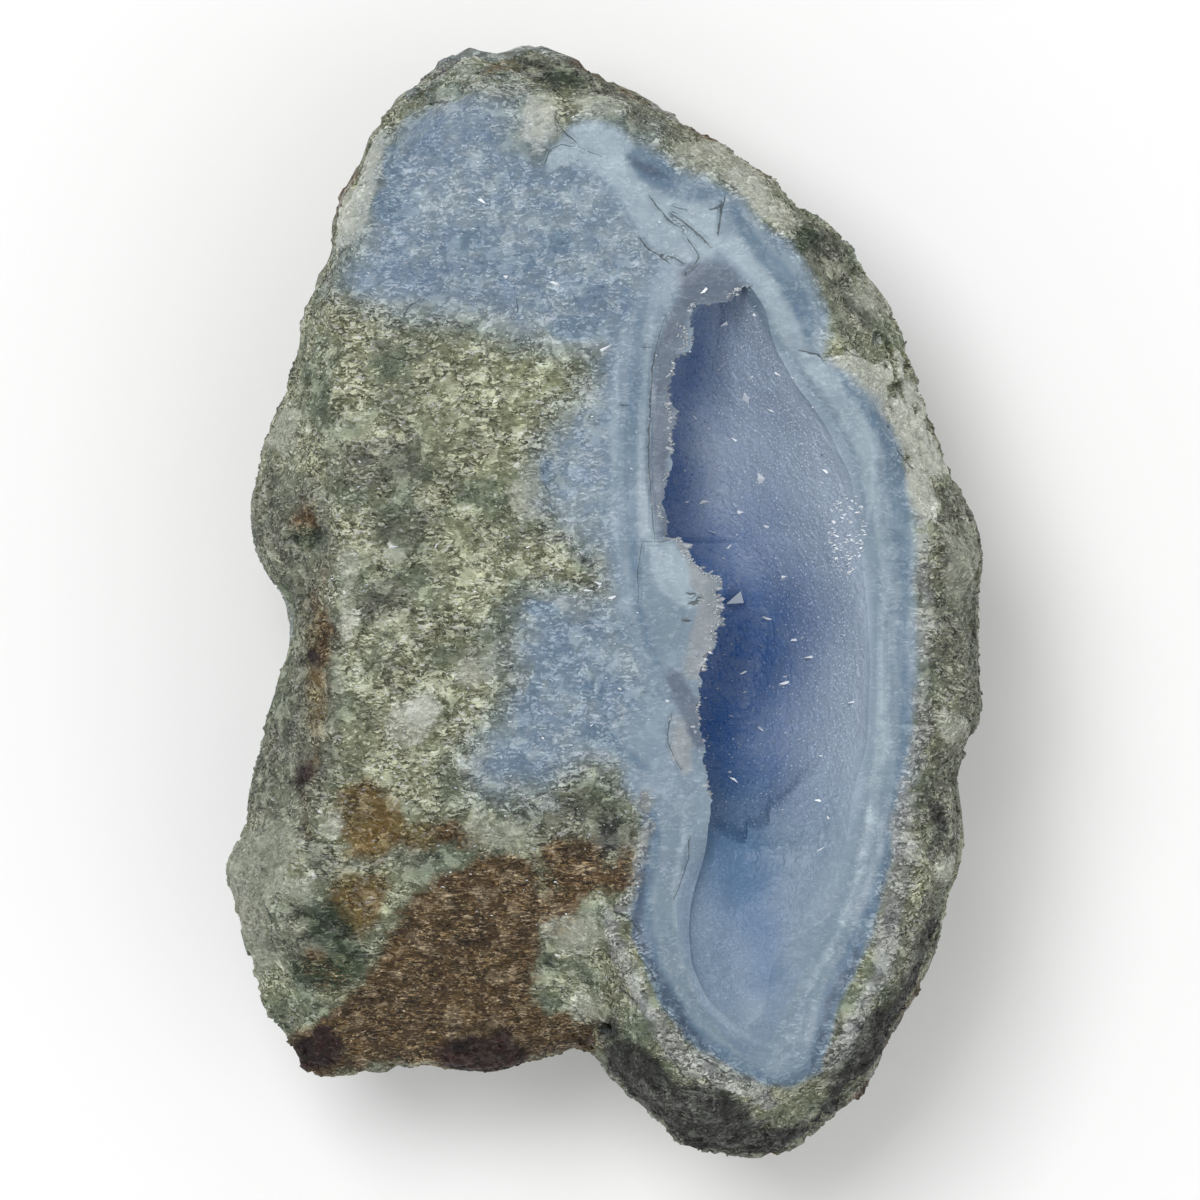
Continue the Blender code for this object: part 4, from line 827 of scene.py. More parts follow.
# the nearest crack at each point: its side and distance, its half width, the plain distance
def crackShape(x, y):
    points = np.stack([x, y], axis=-1)
    side, wide, gap = [np.full(len(x), value) for value in (farFromCracks, 0.05, farFromCracks)]
    # a short dark mark across each pit is painted shade in the hole
    pitShadeMarks = []
    for atX, atY, radius, _ in pits:
        half = radius * 0.6
        pitShadeMarks.append((half, [(atX - half, atY), (atX + half, atY)]))
    for halfWidth, line in list(cracks) + pitShadeMarks:
        corners = np.array(line)
        near = np.all((points > corners.min(axis=0) - 2.0) & (points < corners.max(axis=0) + 2.0),
                      axis=1)
        here = points[near]
        for start, run in zip(corners[:-1], np.diff(corners, axis=0)):
            off = here - start - nearestShare(here, start, run)[:, None] * run
            away = np.linalg.norm(off, axis=1)
            turn = np.where(run[0] * off[:, 1] - run[1] * off[:, 0] < 0.0, -1.0, 1.0)
            closer = away < gap[near]
            side[near] = np.where(closer, away * turn, side[near])
            wide[near] = np.where(closer, halfWidth, wide[near])
            gap[near] = np.where(closer, away, gap[near])
    return side, wide, gap


relief = {
    "matrixFacets": ((2.6, 0.26), (1.25, 0.15)), "matrixGrain": (0.7, 0.07),
    "blueFacets": ((1.5, 0.10),), "blueGrain": (0.8, 0.05),
    "agateSwell": (3.0, 0.05),
    "rindLumps": (3.4, 0.40), "rindFacets": ((3.6, 0.75), (1.9, 0.32)), "ridgeRise": 0.35,
    "quartzRise": 0.3,
    "terraceStep": 0.35, "terraceWave": 9.0,
    "crackDepth": 0.12, "fineReach": 0.6,
    "rimBites": ((2.2, 0.45), (0.9, 0.3)), "rimReach": 1.6,
}


def inZone(field, soft=0.5):
    return smoothStep(-soft, soft, field)


# how grainy each point is, from 0 on polished agate to 1 on the matrix
def gritOf(fields):
    grit = np.ones(len(fields["blue"]))
    for name, value in (("blue", 0.5), ("agate", 0.2), ("quartz", 0.5), ("chalk", 0.3),
                        ("boss", 0.45), ("pale", 0.14), ("ridge", 0.9)):
        share = inZone(fields[name], 1.6 if name in ("blue", "agate") else 0.5)
        grit = grit * (1.0 - share) + value * share
    return grit


def reliefHeight(points, fields, below):
    blue = inZone(fields["blue"])
    smooth = np.maximum(inZone(fields["agate"], 0.8), inZone(fields["pale"]))
    matrix = (1.0 - blue) * (1.0 - smooth)
    dark = inZone(fields["dark"])
    quartz = inZone(fields["quartz"])
    height = np.zeros(len(points))
    for k, (size, rise) in enumerate(relief["matrixFacets"]):
        height += matrix * (1.0 - 0.6 * quartz) * rise * facets(points, size, 100 + 40 * k)
    height += matrix * relief["matrixGrain"][1] * waves(points, relief["matrixGrain"][0], 7)
    for size, rise in relief["blueFacets"]:
        height += blue * (1.0 - smooth) * rise * facets(points, size, 300)
    height += blue * (1.0 - smooth) * relief["blueGrain"][1] * waves(points, relief["blueGrain"][0],
            8)
    height += smooth * relief["agateSwell"][1] * waves(points, relief["agateSwell"][0], 9)
    height += dark * relief["rindLumps"][1] * waves(points, relief["rindLumps"][0], 10)
    rind = smoothStep(1.0, 5.0, below) * (1.0 - smooth)
    for k, (size, rise) in enumerate(relief["rindFacets"]):
        height += rind * rise * facets(points, size, 520 + 40 * k)
    height += relief["ridgeRise"] * inZone(fields["ridge"], 0.8)
    height += relief["quartzRise"] * inZone(fields["quartz"], 0.8) * (1.0 - smooth)
    steps = waves(points, relief["terraceWave"], 11) * 3.0
    height += matrix * relief["terraceStep"] * (np.floor(steps) - steps
                                                + smoothStep(0.0, 0.25, steps % 1.0))
    face = 1.0 - smoothStep(2.0, 5.0, below)
    gap = crackShape(points[:, 0], points[:, 1])[2]
    height -= face * relief["crackDepth"] * (1.0 - smoothStep(0.1, 0.4, gap))
    for atX, atY, radius, depth in pits:
        if radius >= 0.5:
            away = np.hypot(points[:, 0] - atX, points[:, 1] - atY) / radius
            height -= face * depth * (1.0 - smoothStep(0.4, 1.1, away))
    return height


lining = {
    "rows": 250, "columns": 150, "endsY": (31.2, -44.6), "floor": 1.7, "rim": 0.6,
    "leastDepth": 0.4, "leastCrust": 0.5,
    "lipLeast": 0.7, "teeth": ((0.9, 0.26), (0.35, 0.16)), "calm": 3.0,
    "facets": ((1.1, 0.07), (0.5, 0.05)), "grain": (0.4, 0.02), "swell": (6.0, 0.30),
    "ledgeRise": 1.7, "ledgeWidth": 1.7,
    "section": ((0.00, 0.00, 0.00), (0.00, 0.30, 0.15), (0.00, 0.85, 0.40), (0.00, 1.00, 0.63),
                (0.05, 0.70, 0.85),
                (0.15, 0.20, 0.97), (0.30, 0.00, 1.00), (0.48, 0.00, 0.84), (0.66, 0.00, 0.57),
                (0.80, 0.00, 0.30),
                (0.91, 0.00, 0.11), (1.00, 0.00, 0.00)),
    "rimDrop": 1.1, "rimReach": 1.6,
}

# the tips of the crystals along the left lip, and the foot of the deep pocket
tipLine = (
    (15.1, 31.5), (13.9, 31), (12.7, 29.7), (11.9, 29.65), (11.1, 29.6), (9.9, 29.55), (9.3, 29.5),
    (9.1, 29.1), (8.7, 28.1), (9.1, 26.8), (9, 25.5), (8.7, 24.6), (7.5, 24.4), (7.2, 23.6),
    (7.2, 22.3),
    (6.7, 21.2), (6.9, 19.8), (7.4, 18.6), (7.4, 17.5), (6.9, 17.1), (7.2, 15.2), (6.8, 14.5),
    (6.8, 13.1), (6.3, 12), (6.3, 10.8), (5.9, 9.5), (6.5, 7.8), (6.5, 6.2), (7.7, 6.15), (9, 5.3),
    (8.5, 4.8), (9.3, 3.7), (10.1, 3.3), (10.4, 2.7), (11.6, 2.4), (12.1, 1.6), (11.5, 1),
    (12.1, -0.4),
    (11.8, -1.2), (12.3, -2.1), (11.4, -3), (11.4, -3.9), (11.1, -4.9), (10.5, -5.4), (10.4, -6.4),
    (9.9, -7.2), (9.8, -8.6), (9.8, -9.9), (9.7, -11.6), (9.7, -12.7), (10.1, -14.4), (10.1, -15.9),
    (10.5, -17.2), (10.6, -18.6), (11, -20.5), (11.1, -21.8), (11.2, -23.3), (10.7, -24.8),
    (9.9, -26.8),
    (8.9, -29.5), (8.7, -33), (9.1, -37), (9.9, -40), (12.4, -43), (14.4, -44.5),
)
pocketFoot = (
    (8.9, -21.2), (9.9, -20.6), (11.1, -20.8), (12.1, -21.8), (12.7, -22.4), (14.3, -22.8),
    (14.6, -21.4),
    (15.6, -21.3), (16.6, -20.6), (16.7, -19.6), (17.8, -19.2), (18.4, -18.5), (19.9, -16.4),
    (23.9, -14),
)


# left and right edge of the opening at y
def openingEdges(y):
    tips = np.array(tipLine)[::-1]
    contact, _, rim, _, _ = hollowStation(y)
    right = rim - lining["rim"]
    lip = smoothStep(-24.0, -20.0, y)
    left = max(np.interp(y, tips[:, 1], tips[:, 0]), contact + lining["lipLeast"] * lip + 0.15)
    return min(left, right - 0.9), right


openingRows = np.linspace(lining["endsY"][0], lining["endsY"][1], 60)


def openingField(x, y):
    edges = np.array([openingEdges(value) for value in openingRows])
    around = list(zip(edges[:, 1], openingRows)) + list(zip(edges[::-1, 0], openingRows[::-1]))
    return shapeField(x, y, "patch", around)


# the face rolls softly into the hollow, but for the sharp lip of crystals on the left
def rimDrop(x, y):
    ys = openingRows
    edges = np.array([openingEdges(value) for value in ys])
    field = openingField(x, y)
    middle = np.interp(y, ys[::-1], edges[::-1].mean(axis=1))
    onRight = smoothStep(-2.0, 2.0, x - middle) * (1.0 - smoothStep(24.0, 31.0, y))
    soft = np.maximum(onRight, 1.0 - smoothStep(-27.0, -22.0, y))
    return soft * lining["rimDrop"] * np.exp(np.minimum(field, 0.0) / lining["rimReach"])


# split the faces that a test picks, once
def refine(mesh, test):
    bm = bmesh.new()
    bm.from_mesh(mesh)
    bm.faces.ensure_lookup_table()
    centres = np.array([face.calc_center_median() for face in bm.faces]) / mm
    upwards = np.array([face.normal.z for face in bm.faces])
    chosen = test(centres, upwards)
    edges = set()
    for face, wanted in zip(bm.faces, chosen):
        if wanted:
            edges.update(face.edges)
    bmesh.ops.subdivide_edges(bm, edges=list(edges), cuts=1, use_grid_fill=True)
    bmesh.ops.triangulate(bm, faces=[face for face in bm.faces if len(face.verts) > 4])
    bm.to_mesh(mesh)
    bm.free()
    mesh.update()


def makeBlank():
    obj = loft("stone_blank", blankRings())
    remesh(obj, 1.0)
    points = meshPoints(obj.data)
    points[:, 2] = np.minimum(points[:, 2], faceHeight(points[:, 0], points[:, 1]))
    setMeshPoints(obj.data, cutScars(points))
    remesh(obj, form["blankVoxel"])

    points = meshPoints(obj.data)
    normals = meshNormals(obj.data)
    back = 1.0 - smoothStep(form["waistHeight"] - 9.0, form["waistHeight"], points[:, 2])
    rough = back * roughness(points, form["backWaves"]) + (1.0 - back) * roughness(points,
            form["faceWaves"])
    upright = 1.0 - np.abs(normals[:, 2])
    rough = rough - upright * (np.maximum(rough, 0.0) - form["outlineMargin"])
    calm = form["footCalm"] + (1.0 - form["footCalm"]) * smoothStep(0.0, form["footCalmTo"],
            points[:, 2])
    setMeshPoints(obj.data, points + normals * (rough * calm)[:, None])
    print("blank formed", len(points))

    def onFace(centres, upwards):
        below = faceHeight(centres[:, 0], centres[:, 1]) - centres[:, 2]
        return (upwards > -0.1) & (below < 8.0) & (openingField(centres[:, 0], centres[:, 1]) < 2.0)

    def nearRimOrCrack(centres, upwards):
        x, y = centres[:, 0], centres[:, 1]
        rim = lineDistance(x, y, rimLine) < 2.2
        return (rim | (crackShape(x, y)[2] < relief["fineReach"])) & onFace(centres, upwards)

    refine(obj.data, onFace)
    refine(obj.data, nearRimOrCrack)
    points = meshPoints(obj.data)
    normals = meshNormals(obj.data)
    below = faceHeight(points[:, 0], points[:, 1]) - points[:, 2]
    fields = zoneFields(points, below)
    height = reliefHeight(points, fields, below) * (0.15 + 0.85
                                                    * smoothStep(0.0, 4.0, points[:, 2]))
    away = lineDistance(points[:, 0], points[:, 1], rimLine)
    outside = 1.0 - smoothStep(0.0, relief["rimReach"], away)
    height = height - outside * np.maximum(height, 0.0)
    for k, (size, depth) in enumerate(relief["rimBites"]):
        height -= outside * depth * smoothStep(0.0, 0.45, facets(points, size, 700 + 40 * k))
    points = points + normals * height[:, None]
    points[:, 2] -= rimDrop(points[:, 0], points[:, 1]) * (below < 6.0)
    setMeshPoints(obj.data, points)
    print("blank roughened", len(points))
    return obj


# cut the back off flat where the stone rests
def cutFoot(mesh):
    bm = bmesh.new()
    bm.from_mesh(mesh)
    cut = bmesh.ops.bisect_plane(bm, geom=bm.verts[:] + bm.edges[:] + bm.faces[:], dist=1e-7,
                                 plane_co=(0.0, 0.0, 0.0), plane_no=(0.0, 0.0, 1.0),
                                 clear_inner=True)
    edges = [item for item in cut["geom_cut"] if isinstance(item, bmesh.types.BMEdge)]
    bmesh.ops.edgenet_fill(bm, edges=edges)
    bmesh.ops.recalc_face_normals(bm, faces=bm.faces[:])
    bmesh.ops.triangulate(bm, faces=bm.faces[:])
    bm.to_mesh(mesh)
    bm.free()


def makeHollow():
    shares = np.linspace(0.0, 1.0, 31)
    rings = []
    for y in np.linspace(hollowStations[0][0], hollowStations[-1][0], 68):
        contact, _, rim, depth, undercut = hollowStation(y)
        rings.append(hollowRing(y, contact, rim, depth, undercut, shares))
    return loft("hollow", rings)


# values along y averaged with a soft window
def sweep(values, ys, width):
    away = (ys[:, None] - ys[None, :]) / width
    weight = np.exp(-(away**2))
    return weight @ values / weight.sum(axis=1)


def makeVoid():
    foot = np.array(pocketFoot)
    top, bottom = lining["endsY"]
    columns = lining["columns"]
    shares = np.linspace(0.0, 1.0, columns)
    ys = np.linspace(top, bottom, lining["rows"])
    line = np.column_stack([ys, ys * 0.0, ys * 0.0])
    tooth = sum(reach * waves(line, size, 60 + k) for k, (size,
            reach) in enumerate(lining["teeth"]))
    table = np.array([hollowStation(y) for y in ys])
    edges = np.array([openingEdges(y) for y in ys])
    # inside, the wall follows the lip only in a calm sweep
    calm = np.maximum(sweep(edges[:, 0], ys, lining["calm"]), table[:, 0] + 0.8)
    depths = sweep(table[:, 3], ys, 1.2)
    undercuts = sweep(table[:, 4], ys, 1.2)
    atLip = 1.0 - smoothStep(0.0, 0.14, shares)
    rings = []
    for k, y in enumerate(ys):
        inner = max(depths[k] - lining["floor"], lining["leastDepth"])
        ring = hollowRing(y, calm[k], edges[k, 1], inner, undercuts[k], shares, lining["section"])
        jag = edges[k, 0] + tooth[k] * smoothStep(-24.0, -20.0, y) - calm[k]
        ring[:columns, 0] += jag * atLip
        ring[-1, 0] += jag
        rings.append(ring)
    points = np.array(rings)
    for ring in points:
        contact, _, rim, depth, undercut = hollowStation(ring[0, 1])
        wall = hollowRing(ring[0, 1], contact, rim, depth, undercut, np.linspace(0.3, 1.0, 60))[:60]
        under = np.interp(ring[:columns, 0], wall[:, 0], wall[:, 2], left=-99.0)
        rising = shares > 0.35
        ring[:columns, 2][rising] = np.maximum(ring[:columns, 2],
                                               under + lining["leastCrust"])[rising]
    flat = points[:, :columns].reshape(-1, 3)

    # the floor steps up beyond the foot of the deep pocket
    footY = np.interp(flat[:, 0], foot[:, 0], foot[:, 1])
    beyond = smoothStep(0.0, lining["ledgeWidth"], footY + 0.4 * waves(flat, 1.3, 61) - flat[:, 1])
    beyond = beyond * smoothStep(foot[0, 0] - 1.0, foot[0, 0], flat[:, 0])
    across = np.tile(shares, len(ys))
    fade = smoothStep(-31.0, -24.0, flat[:, 1]) * (1.0 - smoothStep(0.55, 0.8, across))
    flat[:, 2] += beyond * fade * lining["ledgeRise"]

    # crystals roughen it
    wall = flat.reshape(len(ys), columns, 3)
    normal = np.cross(np.gradient(wall, axis=1), np.gradient(wall, axis=0)).reshape(-1, 3)
    normal /= np.maximum(np.linalg.norm(normal, axis=1), 1e-9)[:, None]
    inwards = normal if normal[:, 2].mean() > 0 else -normal
    below = faceHeight(flat[:, 0], flat[:, 1]) - flat[:, 2]
    drusy = 0.2 + 0.8 * smoothStep(-30.0, -22.0, flat[:, 1])
    height = np.zeros(len(flat))
    for k, (size, rise) in enumerate(lining["facets"]):
        height += rise * facets(flat, size, 400 + 40 * k)
    height += lining["grain"][1] * waves(flat, lining["grain"][0], 62)
    height = height * drusy + lining["swell"][1] * waves(flat, lining["swell"][0], 63)
    flat = flat + inwards * (height * smoothStep(0.3, 2.5, below))[:, None]
    points[:, :columns] = flat.reshape(len(ys), columns, 3)
    return loft("void", list(points))


def triangleCount(mesh):
    return sum(len(polygon.vertices) - 2 for polygon in mesh.polygons)


# keep the piece inside the solid part's box
def keepInBox(mesh):
    points = meshPoints(mesh)
    low = np.array(cadBox[0]) / mm
    high = np.array(cadBox[1]) / mm
    setMeshPoints(mesh, np.clip(points, low, high))


def finishPiece(obj):
    keepInBox(obj.data)
    print(obj.name, triangleCount(obj.data))
    return obj


blank = makeBlank()
cutFoot(blank.data)
keepInBox(blank.data)
hollow = makeHollow()
void = makeVoid()

stone = addObject("agate_stone", blank.data.copy())
cutWith(stone, hollow, "DIFFERENCE")
crust = addObject("quartz_crust", blank.data.copy())
cutWith(crust, hollow, "INTERSECT")
cutWith(crust, void, "DIFFERENCE")
for cutter in (hollow, void):
    bpy.data.objects.remove(cutter, do_unlink=True)
print("stone", triangleCount(stone.data), "crust", triangleCount(crust.data))


def paintFields(mesh, sides):
    points = meshPoints(mesh)
    below = faceHeight(points[:, 0], points[:, 1]) - points[:, 2]
    fields = zoneFields(points, below, sides)
    for name, field in fields.items():
        setAttribute(mesh, name, field)
    side, wide, gap = crackShape(points[:, 0], points[:, 1])
    setAttribute(mesh, "crackSide", side)
    setAttribute(mesh, "crackWide", wide)
    setAttribute(mesh, "crackGap", np.where(below < 2.6, gap, farFromCracks))
    layer = lineDistance(points[:, 0], points[:, 1], hollowOutline)
    rows = np.array(hollowStations)[::-1]
    middle = np.interp(points[:, 1], rows[:, 0], rows[:, 1:4:2].mean(axis=1))
    onRim = smoothStep(-1.0, 1.0, points[:, 0] - middle) * (1.0 - smoothStep(0.6, 2.4, layer))
    setAttribute(mesh, "depth", below * (1.0 - onRim))
    setAttribute(mesh, "grit", gritOf(fields))
    setAttribute(mesh, "layer", layer)
    return fields, below


# soft spots of deeper blue in the hollow: x, y, radii, turn, strength. The navy spots along the
# left lip and at the foot of the deep pocket are partly the quartz's deeper blue and partly painted
# shade
hollowTones = {
    "navy_and_shade": (
        (9.0, 24.0, 3.0, 8.0, -10, 0.7), (6.8, 12.0, 3.6, 9.0, 0, 0.86),
        (8.6, 4.0, 5.0, 4.0, 0, 0.8),
        (12.5, -1.0, 6.0, 4.5, 0, 0.75), (14.0, -6.0, 6.5, 6.0, 0, 0.85),
        (11.5, -12.0, 6.0, 6.5, 0, 0.95),
        (13.0, -18.4, 5.5, 4.2, 0, 0.95), (19.0, -1.0, 5.0, 4.5, 0, 0.4),
        (15.0, 7.0, 5.0, 5.0, 0, 0.3), (21.5, -21.0, 4.0, 3.0, 0, 0.12),
    ),
    "bowl": (
        (17.0, -26.5, 15.0, 8.0, 0, 1.0), (16.0, -36.0, 14.0, 9.0, 0, 1.0),
        (16.0, -45.0, 14.0, 6.0, 0, 1.0),
    ),
    "streak": (
        (12.6, -23.6, 3.2, 3.4, 0, 0.75), (14.4, -27.5, 3.2, 4.0, 0, 0.8),
        (15.2, -31.5, 2.3, 4.5, 5, 0.85),
        (16.8, -36.5, 2.0, 4.5, 10, 0.85), (17.8, -40.0, 1.8, 3.0, 10, 0.4),
    ),
}
# whitish haze in the quartz by the right rim and by the bowl's edges: y, strength, how far in
milkRows = (
    (34.0, 0.9, 2.2), (26.0, 0.9, 2.4), (19.0, 0.95, 2.4), (14.0, 0.9, 4.6), (9.0, 0.5, 5.0),
    (4.0, 0.5, 5.4),
    (-2.0, 0.45, 5.0), (-8.0, 0.45, 4.4), (-16.0, 0.45, 4.4), (-24.0, 0.5, 4.4), (-30.0, 0.6, 4.6),
    (-36.0, 0.5, 3.6),
    (-44.0, 0.15, 2.0),
)


def paintTones(mesh):
    points = meshPoints(mesh)
    sway = waves(points, 3.0, 71) * 0.8
    for name, spots in hollowTones.items():
        rest = np.ones(len(points))
        for *oval, strength in spots:
            rest *= 1.0 - strength * np.exp(-ovalSquare(points[:, 0] + sway, points[:, 1], *oval))
        setAttribute(mesh, name, 1.0 - rest)
    table = np.array(milkRows)[::-1]
    strength, reach = [np.interp(points[:, 1], table[:, 0], table[:, k]) for k in (1, 2)]
    rows = np.array(hollowStations)[::-1]
    rim = np.interp(points[:, 1], rows[:, 0], rows[:, 3])
    away = np.maximum(rim - points[:, 0] + sway * 0.5, 0.0) / reach
    setAttribute(mesh, "milk", strength * np.exp(-(away**1.5)))


hollowOutline = [(row[1], row[0]) for row in hollowStations] + [(row[3], row[0])
        for row in hollowStations[::-1]]
stoneFields, stoneBelow = paintFields(stone.data, True)
crustBelow = paintFields(crust.data, False)[1]
paintTones(crust.data)
print("fields painted")


# an 8-bit screen colour as a linear colour
def tint(screen):
    shares = [value / 255.0 for value in screen]
    return (*(part / 12.92 if part <= 0.04045 else ((part + 0.055) / 1.055) ** 2.4
              for part in shares), 1.0)


def addNode(tree, kind, inputs=None, **settings):
    made = tree.nodes.new(kind)
    for name, value in settings.items():
        setattr(made, name, value)
    for name, value in (inputs or {}).items():
        if isinstance(value, bpy.types.NodeSocket):
            tree.links.new(value, made.inputs[name])
        else:
            made.inputs[name].default_value = value
    return made


def useGroup(tree, group, inputs):
    return addNode(tree, "ShaderNodeGroup", inputs, node_tree=group).outputs


def maths(tree, operation, first, second=0.0, third=0.0, clamp=False):
    inputs = {0: first, 1: second}
    if operation == "MULTIPLY_ADD":
        inputs[2] = third
    return addNode(tree, "ShaderNodeMath", inputs, operation=operation, use_clamp=clamp).outputs[0]


def vectorMaths(tree, operation, first, second):
    inputs = {0: first, "Scale" if operation == "SCALE" else 1: second}
    return addNode(tree, "ShaderNodeVectorMath", inputs, operation=operation).outputs[0]


# a value between two limits, moved to between two others; soft eases at both ends
def mapRange(tree, value, limits, to=(0.0, 1.0), soft=False):
    inputs = {"Value": value, "From Min": limits[0], "From Max": limits[1], "To Min": to[0],
              "To Max": to[1]}
    ease = "SMOOTHSTEP" if soft else "LINEAR"
    return addNode(tree, "ShaderNodeMapRange", inputs, interpolation_type=ease).outputs[0]


def mixColours(tree, share, first, second, blend="MIX"):
    inputs = {0: share, 6: first, 7: second}
    return addNode(tree, "ShaderNodeMix", inputs, data_type="RGBA", blend_type=blend).outputs[2]


def splitColour(tree, colour):
    return addNode(tree, "ShaderNodeSeparateColor", {0: colour}).outputs


def attribute(tree, name):
    return addNode(tree, "ShaderNodeAttribute", attribute_name=name).outputs["Fac"]


def noiseOf(tree, place, scale, detail, roughness):
    inputs = {"Vector": place, "Scale": scale, "Detail": detail, "Roughness": roughness}
    return addNode(tree, "ShaderNodeTexNoise", inputs).outputs


# scattered cells: how far each spot is from its cell's middle, and three random tones of the cell
def cellsOf(tree, place, scale):
    cells = addNode(tree, "ShaderNodeTexVoronoi", {"Vector": place, "Scale": scale}).outputs
    return cells["Distance"], splitColour(tree, cells["Color"])


def placeInMillimetres(tree):
    return vectorMaths(tree, "SCALE", addNode(tree, "ShaderNodeTexCoord").outputs["Object"],
                       1.0 / mm)


# a node group; a number makes a socket with that default, a word names a socket's kind
def newTree(kind, name, inputs, outputs):
    tree = bpy.data.node_groups.new(name, kind)
    for side, rows in (("INPUT", inputs), ("OUTPUT", outputs)):
        for label, value in rows.items():
            kinds = {float: "Float", int: "Int"}
            word = kinds.get(type(value), value)
            socket = tree.interface.new_socket(label, in_out=side, socket_type=f"NodeSocket{word}")
            if word != value:
                socket.default_value = value
    return tree, tree.nodes.new("NodeGroupInput").outputs, tree.nodes.new("NodeGroupOutput").inputs


def newShaderTree(name, inputs, outputs):
    return newTree("ShaderNodeTree", name, inputs, outputs)


# a zone's edge made ragged by a noise: field, noise from 0 to 1, how far it reaches, how soft it is
def makeRaggedEdge():
    inputs = {"Field": 0.0, "Noise": 0.5, "Reach": 1.0, "Softness": 0.3}
    tree, given, result = newShaderTree("ragged edge", inputs, {"Mask": "Float"})
    centred = maths(tree, "SUBTRACT", given["Noise"], 0.5)
    moved = maths(tree, "MULTIPLY_ADD", centred, given["Reach"], given["Field"])
    limits = (maths(tree, "MULTIPLY", given["Softness"], -1.0), given["Softness"])
    tree.links.new(mapRange(tree, moved, limits, soft=True), result["Mask"])
    return tree


# noises are scale, detail and roughness; cells are their scale; pairs are limits of a range
grainLook = {
    "coarse": (0.22, 2.0, 0.55), "middle": (0.62, 3.0, 0.62), "fine": (0.9, 3.0, 0.78),
    "ground": (2.6, 2.0, 0.65),
    "bend": 1.3, "fineSwing": 3.1, "chipSwing": 1.7, "chips": 2.5, "gapEdge": (0.45, 0.8),
    "gapTone": (0.08, -0.5),
    "crowdShares": (0.6, 0.4), "crowd": (0.42, 0.58), "busy": (0.4, 1.3),
    "plates": 0.75, "plateGroups": 1.6, "plate": (0.8, 0.83), "plateCalm": -0.3,
    "fleckGroups": 0.9, "fleck": (0.86, 0.9),
    "dashes": 4.0, "dashLong": (2.0, 1.0, 1.0), "dashEdge": (0.32, 0.22), "dashGroups": 1.4,
    "dash": (0.66, 0.72),
    "dashTones": (0.7, 0.3),
}


# grains of a sugary break: a tone from -1 to 1, bright flecks, a height and noises of three sizes
def makeGrains():
    tree, given, result = newShaderTree("sugary grains", {"Grain Size": 0.6, "Stretch": 2.2}, {
        **dict.fromkeys(("Tone", "Fleck", "Dash", "Plate", "Height", "Fine"), "Float"),
        "Coarse": "Color", "Middle": "Color"})
    look = grainLook

    # swing around the middle of a noise, times a share, on top of a start
    def swung(value, share, start=0.0):
        return maths(tree, "MULTIPLY_ADD", maths(tree, "SUBTRACT", value, 0.5), share, start)

    place = placeInMillimetres(tree)
    coarse = noiseOf(tree, place, *look["coarse"])["Color"]
    middle = noiseOf(tree, place, *look["middle"])["Color"]
    stretch = addNode(tree, "ShaderNodeCombineXYZ", {"X": given["Stretch"], "Y": 1.0,
            "Z": 1.0}).outputs[0]
    squeezed = vectorMaths(tree, "DIVIDE", place, stretch)
    wavy = vectorMaths(tree, "SCALE", middle, look["bend"])
    bent = vectorMaths(tree, "ADD", squeezed, wavy)
    sized = vectorMaths(tree, "SCALE", bent, maths(tree, "DIVIDE", 1.0, given["Grain Size"]))
    fine = noiseOf(tree, sized, *look["fine"])["Fac"]
    chipGap, chipTones = cellsOf(tree, sized, look["chips"])
    tone = swung(chipTones[0], look["chipSwing"], swung(fine, look["fineSwing"]))
    # dark gaps between the chips
    tone = maths(tree, "ADD", tone, mapRange(tree, chipGap, look["gapEdge"], look["gapTone"]))
    broad = splitColour(tree, coarse)
    shares = look["crowdShares"]
    crowd = maths(tree, "MULTIPLY_ADD", splitColour(tree, middle)[2], shares[0],
                  maths(tree, "MULTIPLY", broad[2], shares[1]))
    busy = mapRange(tree, crowd, look["crowd"], look["busy"], soft=True)
    # crisp pale plates a millimetre or two wide, in groups
    torn = vectorMaths(tree, "ADD", vectorMaths(tree, "ADD", place, wavy), fine)
    plateTone = swung(broad[0], look["plateGroups"], cellsOf(tree, torn, look["plates"])[1][0])
    plate = mapRange(tree, plateTone, look["plate"])
    # flecks are single bright chips, in loose clusters
    fleck = mapRange(tree, swung(crowd, look["fleckGroups"], chipTones[1]), look["fleck"])
    # thin white dashes, one in some of the long flat cells
    flat = vectorMaths(tree, "DIVIDE", bent, look["dashLong"])
    dashGap, dashTones = cellsOf(tree, flat, look["dashes"])
    chosen = mapRange(tree, swung(crowd, look["dashGroups"], dashTones[0]), look["dash"])
    dash = maths(tree, "MULTIPLY", mapRange(tree, dashGap, look["dashEdge"]), chosen)
    dash = maths(tree, "MULTIPLY", dash, maths(tree, "MULTIPLY_ADD", dashTones[1],
                                               *look["dashTones"]))
    tone = maths(tree, "MULTIPLY", tone, maths(tree, "MULTIPLY_ADD", plate, look["plateCalm"],
                                               busy))
    ground = noiseOf(tree, squeezed, *look["ground"])["Fac"]
    for name, source in (("Tone", tone), ("Fleck", fleck), ("Dash", dash), ("Plate", plate),
                         ("Height", ground), ("Coarse", coarse), ("Middle", middle),
                         ("Fine", fine)):
        tree.links.new(source, result[name])
    return tree


raggedEdge = makeRaggedEdge()
sugaryGrains = makeGrains()


